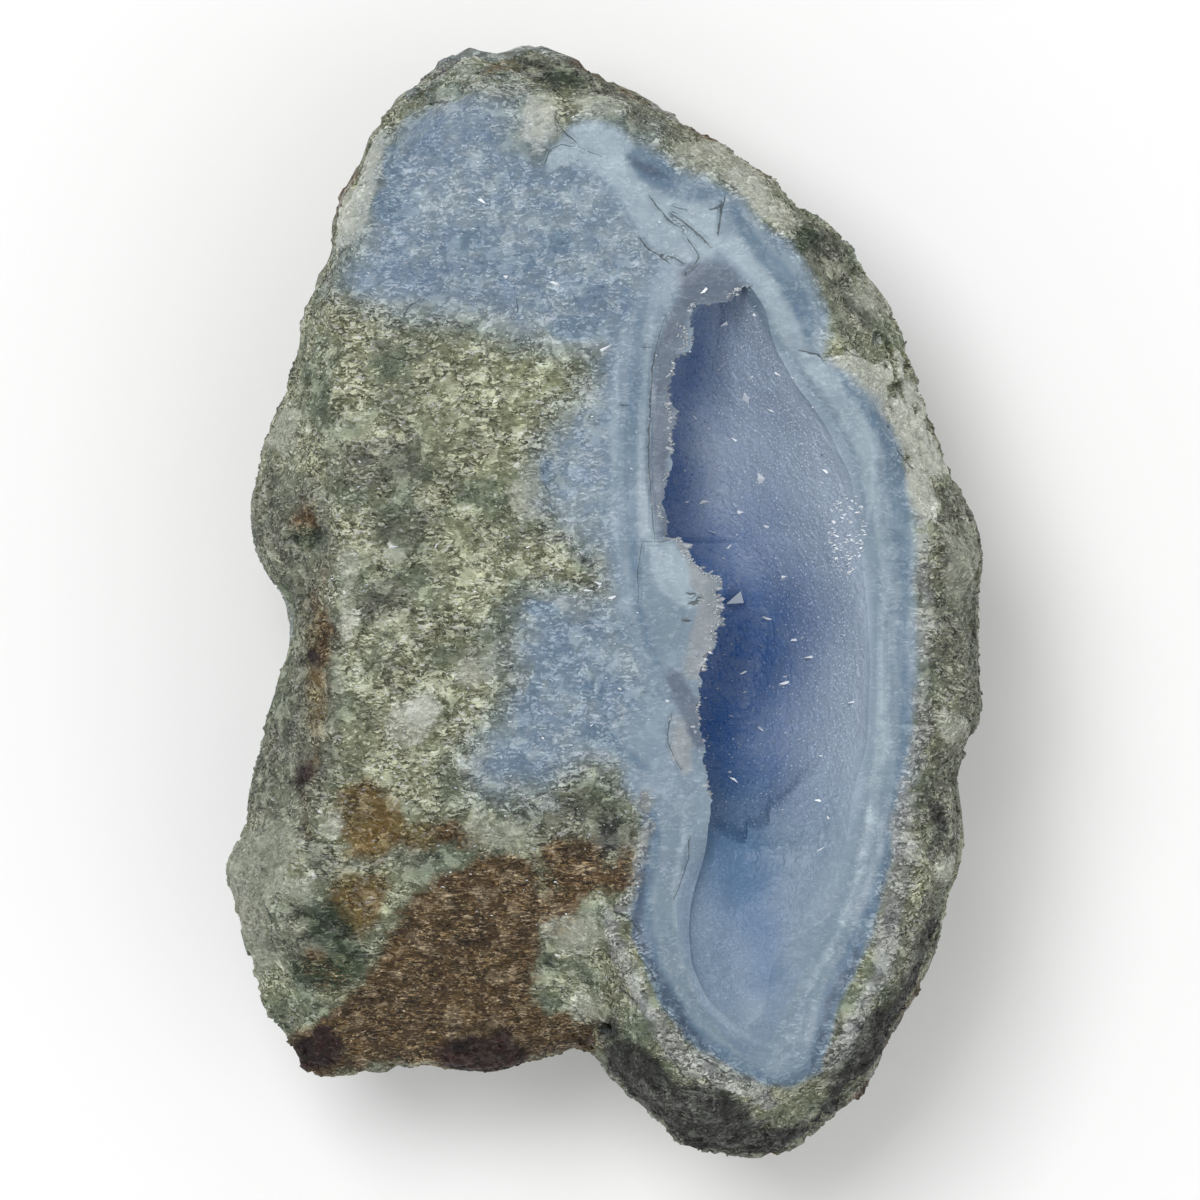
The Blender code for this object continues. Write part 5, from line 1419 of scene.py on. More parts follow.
# one zone laid over a colour: its own two colours in patches, inside its ragged edge
def makeZoneLayer():
    inputs = {"Colour": "Color", "Field": 0.0, "Noise": 0.5, "Patches": 0.5, "First": "Color",
              "Second": "Color", "Reach": 1.0, "Softness": 0.3, "Most": 1.0}
    tree, given, result = newShaderTree("zone layer", inputs, {"Colour": "Color"})
    edge = useGroup(tree, raggedEdge, {name: given[name] for name in ("Field", "Noise", "Reach",
            "Softness")})
    patches = mapRange(tree, given["Patches"], (0.38, 0.62), soft=True)
    own = mixColours(tree, patches, given["First"], given["Second"])
    share = maths(tree, "MULTIPLY", edge["Mask"], given["Most"])
    tree.links.new(mixColours(tree, share, given["Colour"], own), result["Colour"])
    return tree


# the tones' range and the factors on the colour; how far single bright grains go to white
toneLook = {
    "tones": (-0.95, 1.65), "factors": (0.15, 2.2), "darkest": -0.8, "calmDarkest": 0.5,
    "fleck": 0.75,
    "lighter": (2.3, 2.3, 2.3, 1.0), "white": (1.5, 0.04), "mostWhite": 0.38, "plate": 0.5,
}


# grain tones and flecks over a colour, in proportion to it
def makeGrainTones():
    inputs = {"Colour": "Color", "Tone": 0.0, "Fleck": 0.0, "Dash": 0.0, "Plate": 0.0, "Grit": 1.0,
              "Calm": 0.0, "Light": "Color", "Extra": 0.0, "Greyer": 0.4}
    tree, given, result = newShaderTree("grain tones", inputs, {"Colour": "Color"})
    look = toneLook
    # calm stone has fewer dark grains
    least = maths(tree, "MULTIPLY_ADD", given["Calm"], look["calmDarkest"], look["darkest"])
    tone = maths(tree, "MAXIMUM", given["Tone"], least)
    tone = maths(tree, "MULTIPLY_ADD", tone, given["Grit"], given["Extra"])
    factor = mapRange(tree, tone, look["tones"], look["factors"])
    # lighter grains are greyer
    paleness = maths(tree, "MULTIPLY", tone, given["Greyer"], clamp=True)
    fleck = maths(tree, "MULTIPLY", maths(tree, "MULTIPLY", given["Fleck"], given["Grit"]),
                  look["fleck"])
    fleck = maths(tree, "MAXIMUM", fleck, given["Dash"], clamp=True)
    # bright grains are less white where the stone is dark
    lighter = mixColours(tree, 1.0, given["Colour"], look["lighter"], "MULTIPLY")
    brightness = addNode(tree, "ShaderNodeRGBToBW", {0: given["Colour"]}).outputs[0]
    whiter = maths(tree, "MULTIPLY_ADD", brightness, *look["white"])
    lighter = mixColours(tree, maths(tree, "MINIMUM", whiter, look["mostWhite"]), lighter,
                         given["Light"])
    plated = maths(tree, "MULTIPLY", given["Plate"], look["plate"])
    plated = mixColours(tree, plated, given["Colour"], lighter)
    saturation = maths(tree, "SUBTRACT", 1.0, paleness)
    plated = addNode(tree, "ShaderNodeHueSaturation", {"Color": plated,
            "Saturation": saturation}).outputs[0]
    colour = mixColours(tree, 1.0, plated, factor, "MULTIPLY")
    tree.links.new(mixColours(tree, fleck, colour, lighter), result["Colour"])
    return tree


# faint growth lines side by side along the hollow, as a factor near 1
laceLook = {"bend": 2.4, "wide": 4.1, "thin": 11.0, "thinShare": 0.6, "inside": 0.4,
            "fade": (2.0, 6.0)}


def makeLace():
    inputs = {"Layer": 0.0, "Noise": 0.5, "Zone": 0.0, "Strength": 0.1}
    tree, given, result = newShaderTree("lace lines", inputs, {"Factor": "Float"})
    look = laceLook
    bent = maths(tree, "MULTIPLY_ADD", given["Noise"], look["bend"], given["Layer"])
    wide, thin = [maths(tree, "SINE", maths(tree, "MULTIPLY", bent, look[name]))
                  for name in ("wide", "thin")]
    both = maths(tree, "MULTIPLY_ADD", thin, look["thinShare"], wide)
    inside = maths(tree, "ADD", given["Zone"], look["inside"], clamp=True)
    near = mapRange(tree, given["Layer"], look["fade"], (1.0, 0.0))
    strength = maths(tree, "MULTIPLY", maths(tree, "MULTIPLY", inside, near), given["Strength"])
    tree.links.new(maths(tree, "MULTIPLY_ADD", both, strength, 1.0), result["Factor"])
    return tree


crackLook = {"bend": 0.5, "widths": (3.0, 0.75), "edge": (-0.04, 0.03), "near": (0.5, 0.3),
             "share": 0.75}


# a thin crack where the signed distance passes through zero
def makeCrackLine():
    inputs = {"Side": 9.0, "Wide": 0.05, "Gap": 9.0, "Noise": 0.5}
    tree, given, result = newShaderTree("crack line", inputs, {"Mask": "Float"})
    centred = maths(tree, "SUBTRACT", given["Noise"], 0.5)
    moved = maths(tree, "ABSOLUTE", maths(tree, "MULTIPLY_ADD", centred, crackLook["bend"],
                                          given["Side"]))
    width = maths(tree, "MULTIPLY_ADD", centred, *crackLook["widths"])
    width = maths(tree, "MULTIPLY", given["Wide"], width)
    inside = mapRange(tree, maths(tree, "SUBTRACT", width, moved), crackLook["edge"], soft=True)
    near = mapRange(tree, given["Gap"], crackLook["near"])
    tree.links.new(maths(tree, "MULTIPLY", inside, near), result["Mask"])
    return tree


crackLine = makeCrackLine()
zoneLayer = makeZoneLayer()
grainTones = makeGrainTones()
laceLines = makeLace()


def newMaterial(name):
    material = bpy.data.materials.new(name)
    material.use_nodes = True
    tree = material.node_tree
    return material, tree, tree.nodes["Principled BSDF"].inputs


# zone: first and second colour, reach of its ragged edge in mm, softness in mm, most that it covers
zoneTints = {
    "dark": ((119, 122, 104), (70, 73, 62), 3.2, 0.9, 0.8),
    "olive": ((146, 148, 116), (128, 132, 102), 3.6, 1.8, 0.8),
    "ochre": ((104, 76, 12), (92, 78, 30), 2.4, 0.8, 0.85),
    "rust": ((56, 34, 10), (72, 51, 18), 2.6, 0.7, 0.95),
    "moss": ((28, 46, 28), (50, 64, 40), 2.2, 0.6, 0.9),
    "shade": ((22, 24, 23), (56, 58, 54), 1.8, 0.6, 0.97),
    "ember": ((20, 4, 4), (38, 12, 9), 0.7, 0.4, 0.98),
    "quartz": ((170, 173, 158), (148, 152, 136), 2.6, 0.5, 0.85),
    "chalk": ((196, 199, 187), (174, 178, 165), 1.8, 0.4, 0.95),
    "boss": ((154, 158, 141), (124, 128, 112), 2.6, 0.7, 0.9),
    "blue": ((108, 130, 155), (127, 144, 156), 2.8, 3.4, 1.0),
    "agate": ((131, 150, 166), (122, 141, 159), 1.4, 0.8, 0.95),
    "steel": ((92, 118, 143), (106, 130, 149), 0.6, 0.35, 0.9),
    "pale": ((166, 184, 195), (150, 167, 180), 0.9, 0.5, 0.92),
    "inky": ((60, 79, 104), (78, 95, 116), 0.6, 0.35, 0.85),
    "clear": ((88, 101, 120), (104, 117, 134), 0.6, 0.5, 0.92),
    "beige": ((152, 158, 163), (138, 147, 153), 0.6, 0.35, 0.85),
    "ridge": ((142, 145, 147), (122, 125, 121), 2.2, 0.6, 0.85),
}
stoneFinish = {
    "lightFleck": (226, 230, 218),
    "matrixWarm": (132, 134, 104), "matrixCool": (101, 112, 92),
    "crack": (44, 54, 54), "grainSize": 0.5, "stretch": 2.2, "roughness": (0.36, 0.62), "bump": 0.2,
    "specular": 0.4, "clouds": (-0.45, 0.45), "greyer": (-0.75, 0.8),
    "lace": 0.012, "streak": (162, 139, 102), "streakLong": (4.0, 1.0, 1.0), "streakFine": 2.6,
    "streakWidth": 0.055,
}
faceZones = ("agate", "steel", "pale", "clear", "beige")


# the broad noises of the grains as lists of three, and the fine one
def grainNoises(tree, grains):
    return [*(splitColour(tree, grains[name])[:3] for name in ("Coarse", "Middle")), grains["Fine"]]


def layZones(tree, noises, colour, names):
    coarse, middle, fine = noises
    edges, patches = [], []
    for k in range(3):
        part = maths(tree, "MULTIPLY_ADD", middle[(k + 1) % 3], 0.45,
                     maths(tree, "MULTIPLY", coarse[k], 0.35))
        edges.append(maths(tree, "MULTIPLY_ADD", fine, 0.2, part))
        half = maths(tree, "MULTIPLY", coarse[k], 0.5)
        patches.append(maths(tree, "MULTIPLY_ADD", middle[(k + 2) % 3], 0.5, half))
    for name in names:
        k = list(zoneTints).index(name) % 3
        first, second, reach, softness, most = zoneTints[name]
        colour = useGroup(tree, zoneLayer, {
            "Colour": colour, "Field": attribute(tree, name), "Noise": edges[k],
            "Patches": patches[k],
            "First": tint(first), "Second": tint(second), "Reach": reach * 2.4,
            "Softness": softness, "Most": most,
        })[0]
    return colour


def layLace(tree, noises, colour):
    inputs = {"Layer": attribute(tree, "layer"), "Noise": noises[0][1],
              "Zone": attribute(tree, "agate"), "Strength": stoneFinish["lace"]}
    return mixColours(tree, 1.0, colour, useGroup(tree, laceLines, inputs)[0], "MULTIPLY")


def layCracks(tree, noises, colour):
    inputs = {name: attribute(tree, "crack" + name) for name in ("Side", "Wide", "Gap")}
    crack = useGroup(tree, crackLine, {**inputs, "Noise": noises[1][0]})
    share = maths(tree, "MULTIPLY", crack["Mask"], crackLook["share"])
    return mixColours(tree, share, colour, tint(stoneFinish["crack"]))


# broad light and dark clouds, stronger where the stone is gritty
def layClouds(tree, noises, colour, grit):
    broad = maths(tree, "MULTIPLY_ADD", noises[1][1], 0.6, maths(tree, "MULTIPLY", noises[0][1],
            0.4))
    swing = maths(tree, "MULTIPLY", grit, grit)
    ends = [maths(tree, "MULTIPLY_ADD", swing, most, 1.0) for most in stoneFinish["clouds"]]
    return mixColours(tree, 1.0, colour, mapRange(tree, broad, (0.35, 0.65), ends), "MULTIPLY")


# long thin wavy streaks of tan on the rusty break
def layStreaks(tree, noises, colour, rusty):
    look = stoneFinish
    flat = vectorMaths(tree, "DIVIDE", placeInMillimetres(tree), look["streakLong"])
    lines = noiseOf(tree, flat, look["streakFine"], 1.0, 0.5)["Fac"]
    away = maths(tree, "ABSOLUTE", maths(tree, "SUBTRACT", lines, 0.5))
    line = mapRange(tree, away, (0.0, look["streakWidth"]), (1.0, 0.0))
    # none in the dark red spots
    embers = maths(tree, "ADD", attribute(tree, "ember"), 0.6, clamp=True)
    rusty = maths(tree, "MULTIPLY", rusty, maths(tree, "SUBTRACT", 1.0, embers))
    gathered = mapRange(tree, noises[1][0], (0.4, 0.6), (0.15, 0.8))
    share = maths(tree, "MULTIPLY", maths(tree, "MULTIPLY", line, rusty), gathered)
    return mixColours(tree, share, colour, tint(look["streak"]))


# how calm the stone is: the blue and the banded agate, not the matrix
def calmShare(tree):
    shares = [mapRange(tree, attribute(tree, name), limits, soft=True)
              for name, limits in (("blue", (-1.0, 2.0)), ("agate", (-0.6, 0.6)))]
    return maths(tree, "MAXIMUM", *shares)


def addBump(tree, shader, distance, height):
    inputs = {"Strength": 1.0, "Distance": distance * mm, "Height": height}
    tree.links.new(addNode(tree, "ShaderNodeBump", inputs).outputs[0], shader["Normal"])


def makeStoneMaterial():
    material, tree, shader = newMaterial("agate stone rough")
    look = stoneFinish
    grains = useGroup(tree, sugaryGrains, {"Grain Size": look["grainSize"],
                                           "Stretch": look["stretch"]})
    noises = grainNoises(tree, grains)
    grit = attribute(tree, "grit")
    warm = mapRange(tree, noises[0][2], (0.35, 0.65))
    colour = mixColours(tree, warm, tint(look["matrixCool"]), tint(look["matrixWarm"]))
    colour = layLace(tree, noises, layZones(tree, noises, colour, zoneTints))
    colour = layClouds(tree, noises, colour, grit)
    rusty = mapRange(tree, attribute(tree, "rust"), (-0.4, 0.4))
    colour = layStreaks(tree, noises, colour, rusty)
    lighter = maths(tree, "MULTIPLY", maths(tree, "MAXIMUM", attribute(tree, "tone"), -0.3), 0.5)
    colour = useGroup(tree, grainTones, {
        "Colour": colour, "Tone": grains["Tone"], "Grit": grit, "Calm": calmShare(tree),
        "Fleck": grains["Fleck"],
        "Plate": maths(tree, "MULTIPLY", grains["Plate"], grit), "Extra": lighter,
        "Dash": maths(tree, "MULTIPLY", grains["Dash"],
                      mapRange(tree, grit, (0.25, 0.5), (0.05, 0.75))),
        "Light": tint(look["lightFleck"]), "Greyer": maths(tree, "MULTIPLY_ADD", rusty,
                                                           *look["greyer"]),
    })[0]
    tree.links.new(layCracks(tree, noises, colour), shader["Base Color"])
    addBump(tree, shader, look["bump"], maths(tree, "MULTIPLY", grains["Height"], grit))
    smooth, rough = look["roughness"]
    tree.links.new(maths(tree, "MULTIPLY_ADD", grit, rough - smooth, smooth), shader["Roughness"])
    shader["Specular IOR Level"].default_value = look["specular"]
    return material


# the navy is the quartz's deep blue and also painted shade by the left lip and in the deep pocket
crustFinish = {
    "lilac": (172, 187, 207), "navy_and_shade": (4, 80, 147), "bowl": (103, 128, 152),
    "streak": (68, 106, 147),
    "milk": (168, 184, 195), "light": (220, 228, 234),
    "roughness": 0.42, "grainSize": 0.3, "stretch": 1.3, "bump": 0.04, "inside": (0.1, 1.8),
    "grit": 0.17,
    "crystalRoughness": 0.3,
}
quartzIor = 1.54


# the colour of the quartz inside the hollow, with the navy spots partly painted shade by the left
# lip and in the deep pocket
def makeHollowColour():
    inputs = {"Navy_and_shade": 0.0, "Bowl": 0.0, "Streak": 0.0, "Milk": 0.0, "Cloud": 0.5}
    tree, given, result = newShaderTree("hollow colour", inputs, {"Colour": "Color"})
    tints = {name: tint(crustFinish[name]) for name in ("lilac", "navy_and_shade", "bowl", "streak", "milk")}
    centred = maths(tree, "SUBTRACT", given["Cloud"], 0.5)
    moved = maths(tree, "MULTIPLY_ADD", centred, 0.5, given["Navy_and_shade"], clamp=True)
    colour = mixColours(tree, moved, tints["lilac"], tints["navy_and_shade"])
    colour = mixColours(tree, given["Bowl"], colour, tints["bowl"])
    colour = mixColours(tree, given["Streak"], colour, tints["streak"])
    uneven = maths(tree, "MULTIPLY_ADD", centred, 1.6, 1.0)
    hazy = maths(tree, "MULTIPLY", given["Milk"], uneven, clamp=True)
    colour = mixColours(tree, hazy, colour, tints["milk"])
    cloud = mapRange(tree, given["Cloud"], (0.3, 0.7), (0.93, 1.07))
    tree.links.new(mixColours(tree, 1.0, colour, cloud, "MULTIPLY"), result["Colour"])
    return tree


hollowColour = makeHollowColour()


def toneInputs(tree):
    return {name.capitalize(): attribute(tree, name) for name in (*hollowTones, "milk")}


def makeCrustMaterial():
    material, tree, shader = newMaterial("druse quartz lining")
    look = crustFinish
    faceGrains, grains = [
        useGroup(tree, sugaryGrains, {"Grain Size": finish["grainSize"],
                                      "Stretch": finish["stretch"]})
        for finish in (stoneFinish, look)]
    noises = grainNoises(tree, faceGrains)
    grit = attribute(tree, "grit")
    face = layZones(tree, noises, tint(zoneTints["agate"][0]), faceZones)
    face = layClouds(tree, noises, layLace(tree, noises, face), grit)
    face = useGroup(tree, grainTones, {
        "Colour": face, "Tone": faceGrains["Tone"], "Grit": grit, "Calm": 1.0,
        "Fleck": faceGrains["Fleck"],
        "Light": tint(stoneFinish["lightFleck"]),
    })[0]
    hollow = useGroup(tree, hollowColour, {**toneInputs(tree), "Cloud": noises[1][2]})[0]
    hollow = useGroup(tree, grainTones, {
        "Colour": hollow, "Tone": grains["Tone"], "Grit": look["grit"], "Fleck": grains["Fleck"],
        "Light": tint(look["light"]),
    })[0]
    inside = mapRange(tree, attribute(tree, "depth"), look["inside"], soft=True)
    colour = mixColours(tree, inside, face, hollow)
    tree.links.new(layCracks(tree, noises, colour), shader["Base Color"])
    addBump(tree, shader, look["bump"], grains["Height"])
    shader["Roughness"].default_value = look["roughness"]
    return material


stoneMaterial = makeStoneMaterial()
crustMaterial = makeCrustMaterial()


# little crystals take the colour of the quartz that they stand on, the painted shade of the navy
# spots included
def makeCrystalMaterial():
    material, tree, shader = newMaterial("small quartz crystals")
    hollow = useGroup(tree, hollowColour, toneInputs(tree))[0]
    lighter = maths(tree, "MULTIPLY", maths(tree, "ADD", attribute(tree, "tone"), 0.5), 0.12,
                    clamp=True)
    tree.links.new(mixColours(tree, lighter, hollow, tint(crustFinish["light"])),
                   shader["Base Color"])
    shader["Roughness"].default_value = crustFinish["crystalRoughness"]
    shader["IOR"].default_value = quartzIor
    return material


# bright clean quartz for the teeth of the lip and the facets that glint
def makeClearMaterial(name, dull, bright, roughness, transmission):
    material, tree, shader = newMaterial(name)
    share = maths(tree, "MULTIPLY_ADD", attribute(tree, "tone"), 0.5, 0.5, clamp=True)
    tree.links.new(mixColours(tree, share, tint(dull), tint(bright)), shader["Base Color"])
    shader["Roughness"].default_value = roughness
    shader["IOR"].default_value = quartzIor
    shader["Transmission Weight"].default_value = transmission
    return material


clearMaterial = makeClearMaterial("clear quartz", (176, 186, 196), (214, 220, 224), 0.12, 0.3)
# the facets' pale to near-white colour is a painted glint, bright also where they don't mirror the
# key light
glintMaterial = makeClearMaterial("quartz facets with painted glint", (122, 140, 166), (240, 244, 247), 0.3,
                                  0.0)
crystalMaterial = makeCrystalMaterial()


# points on the surface, thinned by an attribute, each with a random turn and size
def makeScatterTree(name, shape):
    inputs = {"Geometry": "Geometry", "Spacing": 0.0005, "Density": 1e6, "Smallest": 0.0002,
              "Largest": 0.0005, "Length": 1.0, "Width": 1.0, "Lean": 0.5, "Swing": 3.14, "Seed": 1,
              "Material": "Material"}
    tree, given, result = newTree("GeometryNodeTree", name, inputs, {"Geometry": "Geometry"})

    def named(label):
        return addNode(tree, "GeometryNodeInputNamedAttribute", {"Name": label},
                       data_type="FLOAT").outputs[0]

    seeds = [maths(tree, "ADD", given["Seed"], float(k)) for k in (11, 12, 13)]

    def randomNumber(low, high, seed):
        inputs = {2: low, 3: high, "Seed": seed}
        return addNode(tree, "FunctionNodeRandomValue", inputs, data_type="FLOAT").outputs[1]

    spread = addNode(tree, "GeometryNodeDistributePointsOnFaces", {
        "Mesh": given["Geometry"], "Distance Min": given["Spacing"],
        "Density Max": given["Density"],
        "Density Factor": named("thick"), "Seed": given["Seed"],
    }, distribute_method="POISSON").outputs
    ends = [vectorMaths(tree, "SCALE", (side, side, 0.0), given["Lean"]) for side in (-1.0, 1.0)]
    tip = addNode(tree, "FunctionNodeRandomValue", {0: ends[0], 1: ends[1], "Seed": seeds[0]},
                  data_type="FLOAT_VECTOR").outputs[0]
    turn = addNode(tree, "FunctionNodeAlignRotationToVector", {"Vector": spread["Normal"]},
                   axis="Z").outputs[0]
    turn = addNode(tree, "FunctionNodeAlignRotationToVector",
                   {"Rotation": turn, "Vector": (1.0, 0.0, 0.0)}, axis="X",
                   pivot_axis="Z").outputs[0]
    yaw = randomNumber(maths(tree, "MULTIPLY", given["Swing"], -1.0), given["Swing"], seeds[1])
    yaw = addNode(tree, "ShaderNodeCombineXYZ", {"Z": yaw}).outputs[0]
    extra = addNode(tree, "FunctionNodeEulerToRotation", {0: vectorMaths(tree, "ADD", tip,
            yaw)}).outputs[0]
    turn = addNode(tree, "FunctionNodeRotateRotation", {0: turn, 1: extra},
                   rotation_space="LOCAL").outputs[0]
    size = randomNumber(given["Smallest"], given["Largest"], seeds[2])
    stretch = addNode(tree, "ShaderNodeCombineXYZ", {"X": 1.0, "Y": given["Width"],
            "Z": given["Length"]}).outputs[0]
    scale = vectorMaths(tree, "SCALE", stretch, maths(tree, "MULTIPLY", size, named("size")))
    placed = addNode(tree, "GeometryNodeInstanceOnPoints", {
        "Points": spread["Points"], "Instance": flatCone(tree, *shape), "Rotation": turn,
        "Scale": scale}).outputs[0]
    toned = addNode(tree, "GeometryNodeStoreNamedAttribute", {
        "Geometry": placed, "Name": "tone", "Value": randomNumber(-0.9, 1.1, seeds[0]),
    }, data_type="FLOAT", domain="INSTANCE").outputs[0]
    real = addNode(tree, "GeometryNodeRealizeInstances", {0: toned}).outputs[0]
    painted = addNode(tree, "GeometryNodeSetMaterial", {"Geometry": real,
            "Material": given["Material"]})
    tree.links.new(painted.outputs[0], result[0])
    return tree


# a cone from the nodes with flat faces, its foot below the surface
def flatCone(tree, sides, top, depth, sink):
    cone = addNode(tree, "GeometryNodeMeshCone", {
        "Vertices": sides, "Side Segments": 1, "Radius Top": top, "Radius Bottom": 1.0,
        "Depth": depth,
    }).outputs["Mesh"]
    lowered = addNode(tree, "GeometryNodeTransform", {"Geometry": cone,
            "Translation": (0.0, 0.0, -sink)}).outputs[0]
    return addNode(tree, "GeometryNodeSetShadeSmooth", {"Geometry": lowered,
            "Shade Smooth": False}).outputs[0]


# each shape's sides, top radius, height and how far its foot is sunk, for a base radius of 1
crystalTree = makeScatterTree("scatter crystals", (6, 0.0, 1.6, 0.5))
grainTree = makeScatterTree("scatter grains", (5, 0.5, 1.4, 0.6))
flakeTree = makeScatterTree("scatter flakes", (4, 0.0, 1.2, 0.4))


# run a scatter tree over part of a mesh and keep the result as a piece of its own
def scatter(name, source, tree, thick, size, values, material):
    mesh = source.data.copy()
    setAttribute(mesh, "thick", thick)
    setAttribute(mesh, "size", size)
    obj = addObject(name, mesh)
    modifier = obj.modifiers.new("scatter", "NODES")
    modifier.node_group = tree
    ids = {item.name: item.identifier for item in tree.interface.items_tree
           if item.in_out == "INPUT"}
    for label, value in values.items():
        modifier[ids[label]] = value
    modifier[ids["Material"]] = material
    applyModifiers(obj)
    for spare in ("thick", "size"):
        if spare in obj.data.attributes:
            obj.data.attributes.remove(obj.data.attributes[spare])
    return finishPiece(obj)


# the scattered pieces: lengths in metres, the most crystals a square metre, and shares of the size
druse = {"Spacing": 0.00036, "Density": 8e6, "Smallest": 0.00008, "Largest": 0.0002, "Length": 0.6,
         "Width": 1.0, "Lean": 0.4, "Swing": 3.14, "Seed": 3}
matrixGrains = {"Spacing": 0.00043, "Density": 6e6, "Smallest": 0.00014, "Largest": 0.00046,
                "Length": 0.4, "Width": 0.5, "Lean": 0.35, "Swing": 0.7, "Seed": 5}
matrixFlakes = {"Spacing": 0.00031, "Density": 1.2e7, "Smallest": 0.00008, "Largest": 0.00024,
                "Length": 0.5, "Width": 0.4, "Lean": 0.5, "Swing": 0.8, "Seed": 15}
blueGrains = {"Spacing": 0.0007, "Density": 3e6, "Smallest": 0.0001, "Largest": 0.00032,
              "Length": 0.3, "Width": 0.45, "Lean": 0.3, "Swing": 0.6, "Seed": 8}

stonePoints = meshPoints(stone.data)
onFront = (1.0 - smoothStep(8.0, 14.0, stoneBelow)) * smoothStep(-0.3, 0.1,
        meshNormals(stone.data)[:, 2])
onFront = onFront * smoothStep(0.1, 0.4, lineDistance(stonePoints[:, 0], stonePoints[:, 1],
        rimLine))
blueShare = inZone(stoneFields["blue"])
roughShare = 1.0 - np.maximum(inZone(stoneFields["agate"]), inZone(stoneFields["pale"]))
matrixShare = onFront * (1.0 - blueShare) * roughShare
blueShare = onFront * blueShare * roughShare
drusy = smoothStep(1.0, 3.5, crustBelow) * (meshNormals(crust.data)[:, 2] > -0.5)
drusy = drusy * smoothStep(-27.0, -21.0, meshPoints(crust.data)[:, 1])

fullSize = np.ones(len(stonePoints))
pieces = [
    scatter("druse_crystals", crust, crystalTree, drusy, 0.5 + 0.5 * drusy, druse, crystalMaterial),
    scatter("matrix_grains", stone, grainTree, matrixShare * 0.8, fullSize, matrixGrains,
            stoneMaterial),
    scatter("matrix_flakes", stone, flakeTree, matrixShare * 0.9, fullSize, matrixFlakes,
            stoneMaterial),
    scatter("blue_grains", stone, grainTree, blueShare * 0.7, fullSize, blueGrains, stoneMaterial),
]


# crystals as six-sided points, one joined mesh: places in mm, directions, radii, column lengths
def makeCrystals(name, places, directions, radii, lengths, tips):
    count = len(places)
    corners = 13
    directions = directions / np.linalg.norm(directions, axis=1)[:, None]
    side = np.cross(directions, (0.0, 0.0, 1.0))
    side /= np.maximum(np.linalg.norm(side, axis=1), 1e-6)[:, None]
    other = np.cross(directions, side)
    angles = np.arange(6) * math.pi / 3.0
    ring = side[:, None] * np.cos(angles)[None, :, None] + other[:, None] * np.sin(angles)[None, :,
            None]
    ring = ring * radii[:, None, None]
    middle = places[:, None]
    run = (directions * lengths[:, None])[:, None]
    top = (directions * (lengths + tips)[:, None])[:, None]
    footWidth = 0.8
    points = np.concatenate([middle + ring * footWidth, middle + run + ring, middle + top], axis=1)
    faces = []
    for first in range(0, count * corners, corners):
        faces.append(tuple(first + k for k in range(6))[::-1])
        for k in range(6):
            n = (k + 1) % 6
            faces.append((first + k, first + n, first + 6 + n, first + 6 + k))
            faces.append((first + 6 + k, first + 6 + n, first + 12))
    obj = meshObject(name, points.reshape(-1, 3), faces)
    tones = np.random.default_rng(count).uniform(-1.0, 1.0, count)
    setAttribute(obj.data, "tone", np.repeat(tones, corners))
    obj.data.materials.append(clearMaterial)
    return finishPiece(obj)


# the height of the surface under each place seen from above
def surfaceUnder(mesh, x, y):
    corners = [vertex.co for vertex in mesh.vertices]
    tree = BVHTree.FromPolygons(corners, [face.vertices for face in mesh.polygons])
    heights = []
    for atX, atY in zip(x, y):
        spot = tree.ray_cast(Vector((atX * mm, atY * mm, 0.1)), Vector((0.0, 0.0, -1.0)))[0]
        heights.append(spot.z / mm if spot else -1.0)
    return np.array(heights)


lipTeeth = {"seed": 21, "count": 520, "fromY": -20.0, "toY": 31.0, "radius": (0.10, 0.26),
            "length": (0.2, 0.7), "back": 0.5, "spread": 0.3, "sink": (0.1, 1.6), "lowest": 30.0,
            "lean": 0.35, "tip": 1.4}


def makeLipTeeth():
    rng = np.random.default_rng(lipTeeth["seed"])
    count = lipTeeth["count"]
    y = rng.uniform(lipTeeth["fromY"], lipTeeth["toY"], count)
    tips = np.array(tipLine)[::-1]
    edge = np.interp(y, tips[:, 1], tips[:, 0])
    x = edge - lipTeeth["back"] - rng.uniform(0.0, lipTeeth["spread"], count)
    height = surfaceUnder(crust.data, x, y)
    fits = height > lipTeeth["lowest"]
    x, y, height, count = x[fits], y[fits], height[fits], int(fits.sum())
    z = height - rng.uniform(*lipTeeth["sink"], count)
    lean = rng.normal(0.0, lipTeeth["lean"], (count, 2))
    directions = np.column_stack([np.ones(count), lean[:, 0], lean[:, 1] * 0.5 - 0.05])
    radii = rng.uniform(*lipTeeth["radius"], count)
    lengths = rng.uniform(*lipTeeth["length"], count)
    places = np.column_stack([x, y, z])
    return makeCrystals("lip_teeth", places, directions, radii, lengths, radii * lipTeeth["tip"])


